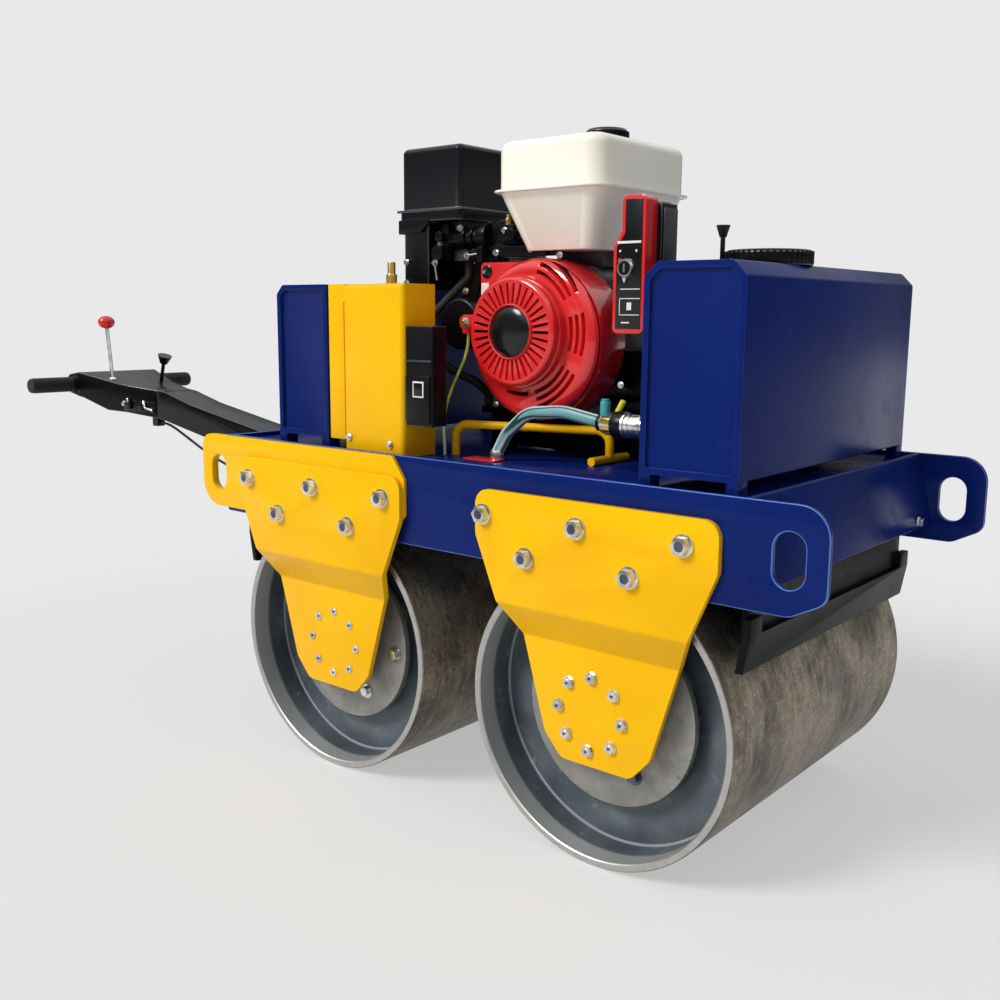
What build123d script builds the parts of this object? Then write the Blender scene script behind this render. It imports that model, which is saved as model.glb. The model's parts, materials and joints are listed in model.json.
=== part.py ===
from build123d import *
import math
import os

# A walk-behind double-drum vibratory roller, in millimetres.
# X points forwards, Y to the far side and Z up. The ground is z = 0,
# and x = 0, y = 0 lies midway between the two drum axles until the export.

# Drums
drumRadius = 230
drumWidth = 600
drumWall = 12
wheelbase = 574
webInset = 74
webThick = 10
webBore = 80
hubDiscRadius = 147
hubDiscInset = 44
hubDiscThick = 12
axleRadius = 42
axleHousingRadius = 75
axleHousingHalf = 150
runningFit = 0.3
bufferRadius = 27
bufferCircle = 114
bufferCount = 6

# Frame
sideGap = 6
panelThick = 8
frameTop = 588
frameBottom = 442
frontEyeReach = 112
rearEyeReach = 86
eyePlateThick = 6
eyeSlotWidth = 44
eyeSlotHeight = 74
frontSlotInset = 53
rearSlotInset = 50
eyeSlotZ = 515
deckDrop = 8
deckThick = 8
crossThick = 10
crossLean = 28
frontCrossGap = 22
rearCrossGap = 29
bracketThick = 10

# Scrapers
scraperGap = 20
scraperInset = 4
scraperLow = 345
scraperTop = 398
scraperTab = 422
scraperThick = 12
scraperLean = 9
scraperBackThick = 8

# Tanks and side cover
tankInset = 14
tankLift = 20
rimDepth = 6
rimWidth = 9
frontTankGap = 26
frontTankLength = 152
frontTankTop = 886
rearTankGap = 114
rearTankLength = 132
rearTankTop = 863
coverGap = 4
coverLength = 179
coverDeep = 77

# Engine
engineX = 43
shaftZ = 787
shaftHeight = 132
recoilFaceY = -200
recoilRadius = 82
seamRise = 223
tankHeight = 76

# Handle
pivotReach = 105
pivotZ = 500
barReach = 822
barRise = 131
headTail = 31
barRadius = 15
gripRadius = 17.5
gripTip = 227
gripLength = 110

# Derived places
drumHalf = drumWidth / 2
panelInner = drumHalf + sideGap
panelOuter = panelInner + panelThick
axleX = wheelbase / 2
axleZ = drumRadius
deckTop = frameTop - deckDrop
deckLow = deckTop - deckThick
engineBase = shaftZ - shaftHeight
tankSeam = shaftZ + seamRise
scraperBackX = axleX + math.sqrt(drumRadius ** 2 - (scraperLow - axleZ) ** 2) + scraperGap
frontCrossX = scraperBackX + frontCrossGap
rearCrossX = -scraperBackX - rearCrossGap
frontEyeTip = frontCrossX + frontEyeReach
rearEyeTip = rearCrossX - rearEyeReach
frontSlotX = frontEyeTip - frontSlotInset
rearSlotX = rearEyeTip + rearSlotInset
tankHalf = panelInner - tankInset
tankFloor = deckTop + tankLift
frontTankEnd = frontCrossX - frontTankGap
frontTankStart = frontTankEnd - frontTankLength
rearTankStart = rearCrossX + rearTankGap
rearTankEnd = rearTankStart + rearTankLength
pivotX = rearCrossX - pivotReach
barX = pivotX - barReach
barZ = pivotZ + barRise
headRear = barX - headTail

nodes = {}


def block(x0, x1, y0, y1, z0, z1):
    return Pos((x0 + x1) / 2, (y0 + y1) / 2, (z0 + z1) / 2) * Box(x1 - x0, y1 - y0, z1 - z0)


def rodY(x, z, radius, y0, y1):
    return Pos(x, (y0 + y1) / 2, z) * Rot(90, 0, 0) * Cylinder(radius, y1 - y0)


def rodX(y, z, radius, x0, x1):
    return Pos((x0 + x1) / 2, y, z) * Rot(0, 90, 0) * Cylinder(radius, x1 - x0)


def rodZ(x, y, radius, z0, z1):
    return Pos(x, y, (z0 + z1) / 2) * Cylinder(radius, z1 - z0)


def between(start, end, radius):
    a = Vector(*start)
    b = Vector(*end)
    plane = Plane(origin=a, z_dir=b - a)
    return extrude(plane * Circle(radius), (b - a).length)


def sideShape(points, y0, y1, radii=None):
    # An outline of (x, z) points, carried from y0 to y1.
    corners = [(x, y0, z) for x, z in points]
    if radii is None:
        wire = Polyline(*corners, close=True)
    else:
        wire = FilletPolyline(*corners, radius=radii, close=True)
    return extrude(make_face(wire.edges()), y1 - y0, dir=(0, 1, 0))


def endShape(points, x0, x1, radii=None):
    # An outline of (y, z) points, carried from x0 to x1.
    corners = [(x0, y, z) for y, z in points]
    if radii is None:
        wire = Polyline(*corners, close=True)
    else:
        wire = FilletPolyline(*corners, radius=radii, close=True)
    return extrude(make_face(wire.edges()), x1 - x0, dir=(1, 0, 0))


def topShape(points, z0, z1, radii=None):
    # An outline of (x, y) points, carried from z0 to z1.
    corners = [(x, y, z0) for x, y in points]
    if radii is None:
        wire = Polyline(*corners, close=True)
    else:
        wire = FilletPolyline(*corners, radius=radii, close=True)
    return extrude(make_face(wire.edges()), z1 - z0, dir=(0, 0, 1))


def slotCut(x, z, width, height, y0, y1):
    half = width / 2
    body = block(x - half, x + half, y0, y1, z - height / 2 + half, z + height / 2 - half)
    for end in (-1, 1):
        body += rodY(x, z + end * (height / 2 - half), half, y0, y1)
    return body


def mirrorY(shape):
    return mirror(shape, about=Plane.XZ)


# Drums: an open steel shell with two welded webs. Each web carries a hub disc on
# rubber buffers, and the disc turns on the fixed axle.
def drumShell(x):
    shell = rodY(x, axleZ, drumRadius, -drumHalf, drumHalf)
    shell -= rodY(x, axleZ, drumRadius - drumWall, -drumHalf - 1, drumHalf + 1)
    shell = chamfer(shell.edges().filter_by(GeomType.CIRCLE), 2)
    outer = drumHalf - webInset
    for side in (-1, 1):
        y0, y1 = sorted((side * outer, side * (outer - webThick)))
        web = rodY(x, axleZ, drumRadius - drumWall / 2, y0, y1)
        web -= rodY(x, axleZ, webBore, y0 - 1, y1 + 1)
        shell += web
    return shell


def hubNear(x):
    outer = drumHalf - hubDiscInset
    inner = outer - hubDiscThick
    hub = rodY(x, axleZ, hubDiscRadius, -outer, -inner)
    for k in range(bufferCount):
        angle = math.radians(360 / bufferCount * (k + 0.5))
        px = x + bufferCircle * math.cos(angle)
        pz = axleZ + bufferCircle * math.sin(angle)
        hub += rodY(px, pz, bufferRadius, -inner, -drumHalf + webInset)
    return hub - rodY(x, axleZ, axleRadius + runningFit, -outer - 1, -inner + 1)


def axle(x, seat):
    # The fixed axle: exciter housing in the middle, a journal through each hub
    # disc, and a flange against each bracket's lower plate.
    shape = rodY(x, axleZ, axleRadius, -seat, seat)
    shape += rodY(x, axleZ, axleHousingRadius, -axleHousingHalf, axleHousingHalf)
    for side in (-1, 1):
        y0, y1 = sorted((side * seat, side * (seat - 12)))
        shape += rodY(x, axleZ, 78, y0, y1)
    return shape


# Brackets: bent plates bolted outside the frame that reach inwards to the axles.
bracketTop = 554
bracketHalf = 208
bracketShoulderZ = 484
bracketBendZ = 384
bracketBendHalf = 166
bracketLowBendZ = 331
bracketLowHalf = 137
bracketFootZ = 150
bracketFootHalf = 62
bracketHeelZ = 186
bracketHeelHalf = 94
bracketInset = 33
boltRadius = 13.5
boltHigh = 10
washerRadius = 16
washerThick = 3
boltPlaces = ((-174, 516), (0, 516), (174, 516), (-91, 459), (91, 459))


def bolt(x, z, face):
    # A hexagon head on its washer, standing out from a face that looks to the near side
    head = Pos(x, face - washerThick, z) * Rot(90, 0, 0) * extrude(RegularPolygon(boltRadius, 6), boltHigh)
    return head + rodY(x, z, washerRadius, face - washerThick, face)


def bracket(x, seat, boltShift):
    outline = [
        (x - bracketHalf, bracketTop), (x + bracketHalf, bracketTop),
        (x + bracketHalf, bracketShoulderZ), (x + bracketBendHalf, bracketBendZ),
        (x + bracketLowHalf, bracketLowBendZ), (x + bracketHeelHalf, bracketHeelZ),
        (x + bracketFootHalf, bracketFootZ), (x - bracketFootHalf, bracketFootZ),
        (x - bracketHeelHalf, bracketHeelZ), (x - bracketLowHalf, bracketLowBendZ),
        (x - bracketBendHalf, bracketBendZ), (x - bracketHalf, bracketShoulderZ)]
    radii = [24, 24, 30, 30, 30, 24, 20, 20, 24, 30, 30, 30]
    outer = seat + bracketThick
    front = sideShape(outline, -outer - 1, -seat + bracketInset + 1, radii)
    bend = [
        (-seat, bracketTop + 1), (-outer, bracketTop + 1), (-outer, bracketBendZ),
        (-outer + bracketInset, bracketLowBendZ), (-outer + bracketInset, bracketFootZ - 1),
        (-seat + bracketInset, bracketFootZ - 1), (-seat + bracketInset, bracketLowBendZ + 3),
        (-seat, bracketBendZ + 3)]
    bent = endShape(bend, x - bracketHalf - 1, x + bracketHalf + 1,
                    [0.5, 0.5, 14, 6, 0.5, 0.5, 14, 6])
    plate = front & bent
    for dx, z in boltPlaces:
        plate += bolt(x + dx + boltShift, z, -outer)
    return plate


# Frame: two blue side panels with a lifting eye at the front, yellow plates with
# a lifting eye over their rear ends, cross plates and the deck.
def sidePanel():
    outline = [
        (rearCrossX - 20, frameTop), (frontEyeTip, frameTop),
        (frontEyeTip, frameBottom + 26), (frontEyeTip - 50, frameBottom),
        (rearCrossX - 20, frameBottom)]
    panel = sideShape(outline, -panelOuter, -panelInner, [4, 42, 22, 30, 4])
    panel -= slotCut(frontSlotX, eyeSlotZ, eyeSlotWidth, eyeSlotHeight,
                     -panelOuter - 1, -panelInner + 1)
    return panel


def rearPlate():
    rearPlateEnd = -axleX + bracketHalf + 1
    outline = [
        (rearEyeTip, frameTop - 2), (rearPlateEnd - 27, frameTop - 2),
        (rearPlateEnd, 550), (rearPlateEnd, 490),
        (rearPlateEnd - 34, frameBottom + 8), (rearEyeTip, frameBottom + 8)]
    outer = panelOuter + eyePlateThick
    plate = sideShape(outline, -outer, -panelOuter, [26, 8, 8, 8, 8, 48])
    plate += sideShape(
        [(rearEyeTip, frameTop - 2), (rearCrossX - 22, frameTop - 2),
         (rearCrossX - 22, frameBottom + 8), (rearEyeTip, frameBottom + 8)],
        -panelOuter, -panelInner, [26, 1, 1, 48])
    plate -= slotCut(rearSlotX, eyeSlotZ, eyeSlotWidth, eyeSlotHeight - 6,
                     -outer - 1, -panelInner + 1)
    return plate


def frontCross():
    low = frameBottom + 28
    foot = frontCrossX + crossLean
    return sideShape(
        [(frontCrossX - crossThick, frameTop), (frontCrossX, frameTop), (foot, low),
         (foot - crossThick, low)], -panelInner, panelInner, [4.5, 4.5, 1, 1])


def rearCross():
    return block(rearCrossX - crossThick, rearCrossX, -panelInner, panelInner,
                 frameBottom, frameTop)


def deck():
    return block(rearCrossX, frontCrossX - crossThick, -panelInner, panelInner, deckLow, deckTop)


def centreBeam():
    beam = block(-70, 70, -panelInner, panelInner, frameBottom, deckLow)
    beam -= block(-62, 62, -panelInner + 8, panelInner - 8, frameBottom + 8, deckLow - 8)
    return beam


# Scrapers: a deep plate in front of the front drum and another behind the rear
# one, each hung from the deck by a thin back plate.
def scraper(direction):
    half = tankHalf - scraperInset
    x0, x1 = scraperBackX, scraperBackX + scraperThick
    plate = sideShape([(x0, scraperLow), (x1, scraperLow), (x1 + scraperLean, scraperTop),
                       (x0 + scraperLean, scraperTop)], -half, half)
    for side in (-1, 1):
        y0, y1 = sorted((side * half, side * (half - 34)))
        plate += sideShape([(x0 + scraperLean, scraperTop), (x1 + scraperLean, scraperTop),
                            (x1 + scraperLean, scraperTab), (x0 + scraperLean, scraperTab)], y0, y1)
    back = x0 + scraperLean
    plate += block(back - scraperBackThick, back, 12 - half, half - 12, scraperTop - 2, deckLow)
    return plate if direction > 0 else mirror(plate, about=Plane.YZ)


# Tanks: sheet-steel boxes whose end plates are set in behind a raised rim and
# stand on the deck on short legs.
def tankBox(points, inner, radii, legs):
    body = sideShape(points, -tankHalf + rimDepth, tankHalf - rimDepth, radii)
    rim = sideShape(points, -tankHalf, -tankHalf + rimDepth, radii)
    rim -= sideShape(inner, -tankHalf - 1, -tankHalf + rimDepth, radii)
    body += rim
    body += mirrorY(rim)
    for x0, x1 in legs:
        for side in (-1, 1):
            y0, y1 = sorted((side * tankHalf, side * (tankHalf - 26)))
            body += block(x0, x1, y0, y1, deckTop, tankFloor + 2)
    return body


def frontTank():
    x0, x1, top, cut = frontTankStart, frontTankEnd, frontTankTop, 20
    w = rimWidth
    outline = [(x0, tankFloor), (x1, tankFloor), (x1, top - cut), (x1 - cut, top),
               (x0 + cut, top), (x0, top - cut)]
    inner = [(x0 + w, tankFloor + w), (x1 - w, tankFloor + w), (x1 - w, top - cut - 4),
             (x1 - cut - 4, top - w), (x0 + cut + 4, top - w), (x0 + w, top - cut - 4)]
    return tankBox(outline, inner, [3, 3, 8, 8, 8, 8], [(x0, x0 + 18), (x1 - 18, x1)])


def rearTank():
    x0, x1, top, cut = rearTankStart, rearTankEnd, rearTankTop, 16
    w = rimWidth
    outline = [(x0, tankFloor), (x1, tankFloor), (x1, top), (x0 + cut, top), (x0, top - cut)]
    inner = [(x0 + w, tankFloor + w), (x1 - w, tankFloor + w), (x1 - w, top - w),
             (x0 + cut + 4, top - w), (x0 + w, top - cut - 4)]
    return tankBox(outline, inner, [3, 3, 3, 9, 9], [(x0, x0 + 18), (x1 - 18, x1)])


capX = (frontTankStart + frontTankEnd) / 2
capY = 210 - tankHalf
capRadius = 62
capHeight = 22


def tankCap():
    cap = rodZ(capX, capY, capRadius, frontTankTop, frontTankTop + capHeight)
    return chamfer(cap.edges().filter_by(GeomType.CIRCLE).sort_by(Axis.Z)[-1], 4)


def dipstick():
    x, y, stemTop = capX + 3, 67 - tankHalf, frontTankTop + 32
    stem = rodZ(x, y, 3.2, frontTankTop, stemTop)
    return stem + Pos(x, y, stemTop + 8) * Cone(4.5, 9.5, 16)


# Yellow side cover with its base flange, beside the rear tank.
coverX0 = rearTankEnd + coverGap
coverX1 = coverX0 + coverLength
coverTop = rearTankTop


def yellowCover():
    y0 = -tankHalf
    face = block(coverX0 + 42, coverX1, y0, y0 + coverDeep, deckTop, coverTop)
    edges = face.edges().filter_by(Axis.Z).group_by(Axis.Y)[0].sort_by(Axis.X)[-1]
    tops = face.edges().filter_by(Axis.X).group_by(Axis.Y)[0].sort_by(Axis.Z)[-1]
    face = fillet([edges, tops], 9)
    strip = block(coverX0, coverX0 + 37, y0 + 2, y0 + coverDeep, tankFloor, coverTop)
    bridge = block(coverX0 + 37, coverX0 + 42, y0 + 2, y0 + coverDeep, coverTop - 30, coverTop)
    back = block(coverX0 + 37, coverX0 + 42, y0 + 8, y0 + coverDeep, tankFloor, coverTop - 30)
    return face + strip + bridge + back


def breather():
    x, y = coverX1 - 66, 42 - tankHalf
    body = rodZ(x, y, 9, coverTop, coverTop + 16)
    body += rodZ(x, y, 6.5, coverTop + 16, coverTop + 36)
    return body


def electricalBox():
    box = block(coverX1, coverX1 + 60, 6 - tankHalf, 42 - tankHalf, deckTop + 54, deckTop + 215)
    return fillet(box.edges().filter_by(Axis.Z), 4)


# Engine
def engineBasePlate():
    plate = block(engineX - 150, engineX + 155, -94, 168, engineBase - 12, engineBase)
    for y in (-66, 140):
        for x in (engineX - 120, engineX + 95):
            plate += rodZ(x, y, 24, deckTop, engineBase - 12)
    return plate


def crankcase():
    case = block(engineX - 100, engineX + 105, -94, 132, engineBase + 14, shaftZ + 105)
    case = fillet(case.edges().filter_by(Axis.Y), 26)
    case += block(engineX - 118, engineX + 122, -94, 132, engineBase, engineBase + 16)
    case += rodY(engineX, shaftZ, 78, 132, 150)
    case += block(engineX - 3, engineX + 97, -74, 26, shaftZ + 104, tankSeam - 94)
    return case


headTilt = 25
earX = engineX - 104
earZ = shaftZ + 14
wireTop = earZ - 18


def cylinderBlock():
    # A finned barrel and head that leave the crankcase towards the rear.
    tilt = Rot(0, headTilt, 0)
    place = Pos(engineX, 0, shaftZ)
    parts = Pos(-160, 10, 0) * Box(140, 104, 84)
    for k in range(7):
        parts += Pos(-124 - 12 * k, 10, 0) * Box(4, 136, 118)
    parts += Pos(-217, 10, 0) * Box(28, 136, 118)
    parts += Pos(-238, 10, 0) * Box(16, 96, 84)
    return place * tilt * parts


def engineBlock():
    return crankcase() + cylinderBlock()


fanX = engineX + 19
fanZ = shaftZ - 13
fanRadius = 130
fanFrontY = recoilFaceY + 28
fanBackY = recoilFaceY + 106
louvreWide = 6.5
louvreDeep = 12
louvreRadii = (100, 112, 124)
louvreGroups = ((39, 42, 3), (91, 31, 3), (142, 42, 3), (184, 26, 1))


def louvre(radius, middle, span):
    # An arc slot about the shaft. Its angles run clockwise from straight up.
    y0, y1 = fanFrontY - 1, fanFrontY + louvreDeep
    ring = rodY(engineX, shaftZ, radius + louvreWide / 2, y0, y1)
    ring -= rodY(engineX, shaftZ, radius - louvreWide / 2, y0 - 1, y1 + 1)
    corners = [(engineX, shaftZ)]
    for turn in (middle - span / 2, middle, middle + span / 2):
        angle = math.radians(turn)
        corners.append((engineX + 2 * radius * math.sin(angle), shaftZ + 2 * radius * math.cos(angle)))
    return ring & sideShape(corners, y0, y1)


def fanCover():
    drum = rodY(fanX, fanZ, fanRadius, fanFrontY, fanBackY)
    front = drum.edges().filter_by(GeomType.CIRCLE).sort_by(Axis.Y)[0]
    drum = fillet(front, 22)
    corner = block(engineX - 104, engineX, fanFrontY + 22, fanBackY, shaftZ + 20, shaftZ + 112)
    drum += fillet(corner.edges().filter_by(Axis.Y), 8)
    drum += rodY(engineX, shaftZ, recoilRadius + 8, recoilFaceY + 14, fanFrontY + 2)
    # The ear with its clamping bolt, and the foot that takes the earth wire
    drum += rodY(earX, earZ, 13, recoilFaceY + 10, fanFrontY + 10)
    drum += block(earX, earX + 40, fanFrontY - 10, fanFrontY + 10, earZ - 12, earZ + 12)
    drum += block(earX - 6, earX + 6, recoilFaceY + 10, fanFrontY + 2, wireTop, earZ)
    for middle, span, rows in louvreGroups:
        for radius in louvreRadii[:rows]:
            drum -= louvre(radius, middle, span)
    return drum


slotCount = 34
slotInner = 45
slotOuter = 77
slotWide = 4.6


def recoilCover():
    ring = rodY(engineX, shaftZ, recoilRadius + 5, recoilFaceY, recoilFaceY + 14)
    front = ring.edges().filter_by(GeomType.CIRCLE).sort_by(Axis.Y)[0]
    ring = fillet(front, 8)
    cuts = []
    for k in range(slotCount):
        length = slotOuter - slotInner
        slot = Pos(slotInner + length / 2, 0, 0) * Box(length, 12, slotWide)
        cuts.append(Pos(engineX, recoilFaceY, shaftZ) * Rot(0, 360 / slotCount * k, 0) * slot)
    ring -= cuts
    ring -= rodY(engineX, shaftZ, 40, recoilFaceY - 1, recoilFaceY + 5)
    return ring


def recoilCentre():
    return rodY(engineX, shaftZ, 39.7, recoilFaceY - 1, recoilFaceY + 5)


def fuelTank():
    x0, x1, y0, y1 = engineX - 55, engineX + 150, -178, 82
    seam = tankSeam
    upper = block(x0, x1, y0, y1, seam, seam + tankHeight)
    upper = fillet(upper.edges().filter_by(Axis.Z), 30)
    upper = fillet(upper.edges().group_by(Axis.Z)[-1], 16)
    flange = block(x0 - 9, x1 + 9, y0 - 9, y1 + 9, seam - 4, seam)
    flange = fillet(flange.edges().filter_by(Axis.Z), 36)
    cx, cy = (x0 + x1) / 2, (y0 + y1) / 2
    wide = Pos(cx, cy, seam - 4) * RectangleRounded(x1 - x0, y1 - y0, 30)
    low = Pos(cx, cy, seam - 94) * RectangleRounded(x1 - x0 - 64, y1 - y0 - 70, 26)
    lower = loft([wide, low])
    return upper + flange + lower


def fuelCap():
    low = tankSeam + tankHeight
    cap = rodZ(engineX + 75, -50, 34, low, low + 22)
    return chamfer(cap.edges().filter_by(GeomType.CIRCLE).sort_by(Axis.Z)[-1], 4)


def airCleaner():
    x0, x1, y0, y1 = engineX - 295, engineX - 147, -154, 6
    skirtLow, ridge = shaftZ + 185, shaftZ + 205
    top = block(x0 + 4, x1 - 4, y0 + 4, y1 - 4, ridge, ridge + 105)
    top = fillet(top.edges().filter_by(Axis.Z), 12)
    top = fillet(top.edges().group_by(Axis.Z)[-1], 10)
    skirt = block(x0, x1, y0, y1, skirtLow, ridge)
    skirt = fillet(skirt.edges().filter_by(Axis.Z), 14)
    body = block(x0 + 8, x0 + 66, y0 + 8, y1 - 50, shaftZ + 68, skirtLow)
    return top + skirt + body


carbX = engineX - 191
carbTop = shaftZ + 185


def carburettor():
    body = block(carbX - 30, carbX + 30, -118, -64, carbTop - 67, carbTop)
    body += rodX(-92, carbTop - 42, 24, carbX + 30, carbX + 64)
    body += block(carbX - 20, carbX + 24, -64, -30, carbTop - 60, carbTop - 16)
    return body - engineBlock()


# The panel with the key switch: its left edge steps in towards the top.
def controlBox():
    x0, x1, z0, z1 = engineX + 196, engineX + 250, shaftZ + 1, shaftZ + 198
    outline = [(x0, z0), (x1, z0), (x1, z1), (x0 + 14, z1), (x0 + 14, z1 - 50), (x0, z1 - 72)]
    return sideShape(outline, recoilFaceY - 2, recoilFaceY + 30, [9, 9, 9, 9, 8, 8])


def controlBack():
    x1 = engineX + 257
    box = block(x1 - 54, x1, recoilFaceY + 30, -128, shaftZ + 25, shaftZ + 188)
    box += block(x1 - 50, x1 - 38, -128, -84, shaftZ + 18, shaftZ + 68)
    box += block(engineX + 105, x1 - 38, -90, -84, shaftZ + 18, shaftZ + 68)
    return box


def muffler():
    x0, low = engineX - 279, shaftZ + 153
    body = block(x0, x0 + 184, 84, 172, low, low + 100)
    body = fillet(body.edges().filter_by(Axis.X), 14)
    body += rodX(128, low + 50, 17, x0 - 26, x0)
    body += block(x0 + 68, x0 + 104, 88, 120, low - 44, low + 2)
    body += block(x0 + 68, x0 + 104, 70, 88, low - 44, low - 8)
    return body - engineBlock()


# A round black cover behind the ear, and the wiring in its sleeve that curves round it.
def roundCover():
    x, z = engineX - 155, shaftZ + 11
    cover = rodY(x, z, 44, -150, -92)
    cover = fillet(cover.edges().filter_by(GeomType.CIRCLE).sort_by(Axis.Y)[0], 6)
    return cover + block(x - 13, engineX - 100, -92, -66, z - 18, z + 18)


def starterMotor():
    motor = rodY(engineX + 152, shaftZ - 62, 34, -60, 92)
    motor += block(engineX + 105, engineX + 130, -40, 70, shaftZ - 90, shaftZ - 30)
    return motor


def pump():
    body = rodY(engineX, shaftZ, 62, 150, 186)
    body += block(engineX - 52, engineX + 52, 186, 276, shaftZ - 55, shaftZ + 55)
    return body


def bentTube(points, radius, bends):
    corners = [Vector(*p) for p in points]
    path = FilletPolyline(*corners, radius=bends)
    start = Plane(origin=path @ 0, z_dir=path % 0)
    return sweep(start * Circle(radius), path=path, transition=Transition.RIGHT)


def wiringSleeve():
    route = [(-135, -96, carbTop - 67), (-135, -96, 878), (-152, -124, 846), (-177, -142, 814),
             (-183, -148, 778), (-168, -146, 742), (-138, -132, 716), (-108, -108, 698),
             (-98, -84, 676), (-98, -84, engineBase)]
    return bentTube(route, 8, [16, 24, 34, 36, 38, 38, 26, 14])


def tubeRail():
    top = deckTop + 52
    x0, x1 = engineX - 119, engineX + 138
    rail = bentTube([(x0, -196, deckTop), (x0, -196, top), (x1, -114, top), (x1, -114, deckTop + 6)],
                    7, [22, 22])
    foot = rodY(x1, deckTop + 7, 7, -165, -66)
    return rail + foot


couplingY = -210
couplingZ = deckTop + 75
couplingLength = 116
couplingStart = frontTankStart - couplingLength


def hoseFoot():
    return rodZ(24, -205, 13, deckTop, deckTop + 16)


def supplyHose():
    route = [(22, -205, deckTop + 10), (44, -206, deckTop + 46), (88, -208, couplingZ + 7),
             (couplingStart - 74, couplingY, couplingZ + 13), (couplingStart + 4, couplingY, couplingZ)]
    return bentTube(route, 10, [40, 60, 120]) - hoseFoot() - hoseCoupling()


def hoseCoupling():
    body = rodX(couplingY, couplingZ, 15, couplingStart, couplingStart + 20)
    body += rodX(couplingY, couplingZ, 19, couplingStart + 20, couplingStart + 44)
    body += rodX(couplingY, couplingZ, 16, couplingStart + 44, frontTankStart)
    return body


def cordRadii(route):
    # Each arc is as large as the shorter of its two runs allows.
    corners = [Vector(*p) for p in route]
    radii = []
    for before, here, after in zip(corners, corners[1:], corners[2:]):
        turn = math.radians((here - before).get_angle(after - here))
        shorter = min((here - before).length, (after - here).length)
        radii.append(0.45 * shorter / math.tan(turn / 2))
    return radii


def cord(name, route, diameter):
    radii = cordRadii(route)
    tube = bentTube(route, diameter / 2, radii)
    length = tube.volume / (math.pi * diameter ** 2 / 4)
    print(name, "length", round(length), "radii", [round(r) for r in radii])
    return tube


# The earth wire hangs from the ear down to the deck.
wireDiameter = 5
wireRoute = [
    (earX, recoilFaceY + 18, wireTop), (earX, recoilFaceY + 18, wireTop - 22),
    (earX - 7, -188, wireTop - 50), (earX - 18, -197, wireTop - 80), (earX - 27, -205, wireTop - 113),
    (earX - 31, -209, wireTop - 145), (earX - 30, -210, wireTop - 170),
    (earX - 28, -210, deckTop + 13), (earX - 28, -210, deckTop)]


# Handle
headHalf = 110
beamHalf = 45
headNeck = barX + 272
headShoulder = barX + 22
beamUnder = pivotZ - 38
beamUnderFar = pivotZ + 55
beamFar = barReach - 282
handleLow = pivotZ - 100
handleHigh = pivotZ + 220
stopX = pivotX - 60
stopRadius = 8
beamSlope = math.atan2(beamUnderFar - beamUnder, beamFar - 10)
stopZ = beamUnder + (pivotX - 10 - stopX) * math.tan(beamSlope) - (stopRadius + 0.4) / math.cos(beamSlope)

# The control cable runs under the beam from the head to the beam's root.
cableDiameter = 6
cableStart = headNeck - 15
cableEnd = pivotX - 110
cablePart = (cableEnd - cableStart) / 455
cableShape = [(0, -30, 45), (25, -30, 45), (65, -31, 34), (115, -32, 15), (175, -33, -8),
              (240, -34, -29), (305, -32, -44), (360, -29, -50), (411, -27, -50), (455, -27, -50)]
cableRoute = [(cableStart + cablePart * along, y, pivotZ + rise) for along, y, rise in cableShape]


def handlePlan():
    outline = [(pivotX - 6, -beamHalf), (headNeck, -beamHalf), (headShoulder, -headHalf),
               (headRear, -headHalf), (headRear, headHalf), (headShoulder, headHalf),
               (headNeck, beamHalf), (pivotX - 6, beamHalf)]
    return topShape(outline, handleLow, handleHigh)


def handleSide():
    ahead = [(282, 55), (172, 67), (112, 70), (34, 98), (-headTail, 110), (-headTail, 154),
             (22, 162), (160, 136), (302, 122), (402, 98)]
    outline = [(pivotX - 10, beamUnder), *((barX + reach, pivotZ + rise) for reach, rise in ahead),
               (pivotX - 10, pivotZ + 30)]
    radii = [6, 60, 20, 20, 20, 12, 14, 20, 40, 40, 40, 6]
    return sideShape(outline, -headHalf - 1, headHalf + 1, radii)


def handleBeam():
    solid = handlePlan() & handleSide()
    beam = solid & block(headNeck, pivotX, -headHalf, headHalf, handleLow, handleHigh)
    beam += block(cableEnd, cableEnd + 20, -40, -14, pivotZ - 62, pivotZ - 8)
    beam += rodY(pivotX, pivotZ, 20, -beamHalf, beamHalf)
    beam -= rodY(pivotX, pivotZ, 9 + runningFit, -beamHalf - 1, beamHalf + 1)
    return beam


def controlHead():
    solid = handlePlan() & handleSide()
    head = solid & block(headRear, headNeck, -headHalf, headHalf, handleLow, handleHigh)
    head += block(cableStart - 20, cableStart, -42, -18, pivotZ + 36, pivotZ + 70)
    return head - rodY(barX, barZ, barRadius, -gripTip, gripTip)


def handleBar():
    return rodY(barX, barZ, barRadius, -gripTip + 4, gripTip - 4)


def gripNear():
    root = gripTip - gripLength
    grip = rodY(barX, barZ, gripRadius, -gripTip, -root)
    grip = fillet(grip.edges().filter_by(GeomType.CIRCLE), 4)
    return grip - rodY(barX, barZ, barRadius, -gripTip + 4, -root + 1)


def handleBracket():
    # Two cheeks and a cross pin behind the rear cross plate.
    shape = block(rearCrossX - crossThick - 8, rearCrossX - crossThick, -86, 86, 452, 572)
    for side in (-1, 1):
        y0, y1 = sorted((side * (beamHalf + 6), side * (beamHalf + 16)))
        shape += sideShape([(rearCrossX - crossThick - 8, 456), (rearCrossX - crossThick - 8, 560),
                            (pivotX - 26, 520), (stopX - 10, 474), (stopX - 10, 452)], y0, y1)
    shape += rodY(pivotX, pivotZ, 9, -beamHalf - 20, beamHalf + 20)
    shape += rodY(stopX, stopZ, stopRadius, -beamHalf - 8, beamHalf + 8)
    return shape


def driveLever():
    foot = (barX + 101, -62, barZ + 9)
    tip = (barX + 93, -66, barZ + 141)
    lever = between(foot, tip, 4.5)
    lever += Pos(*foot) * Cylinder(11, 14)
    return lever - controlHead()


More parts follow.
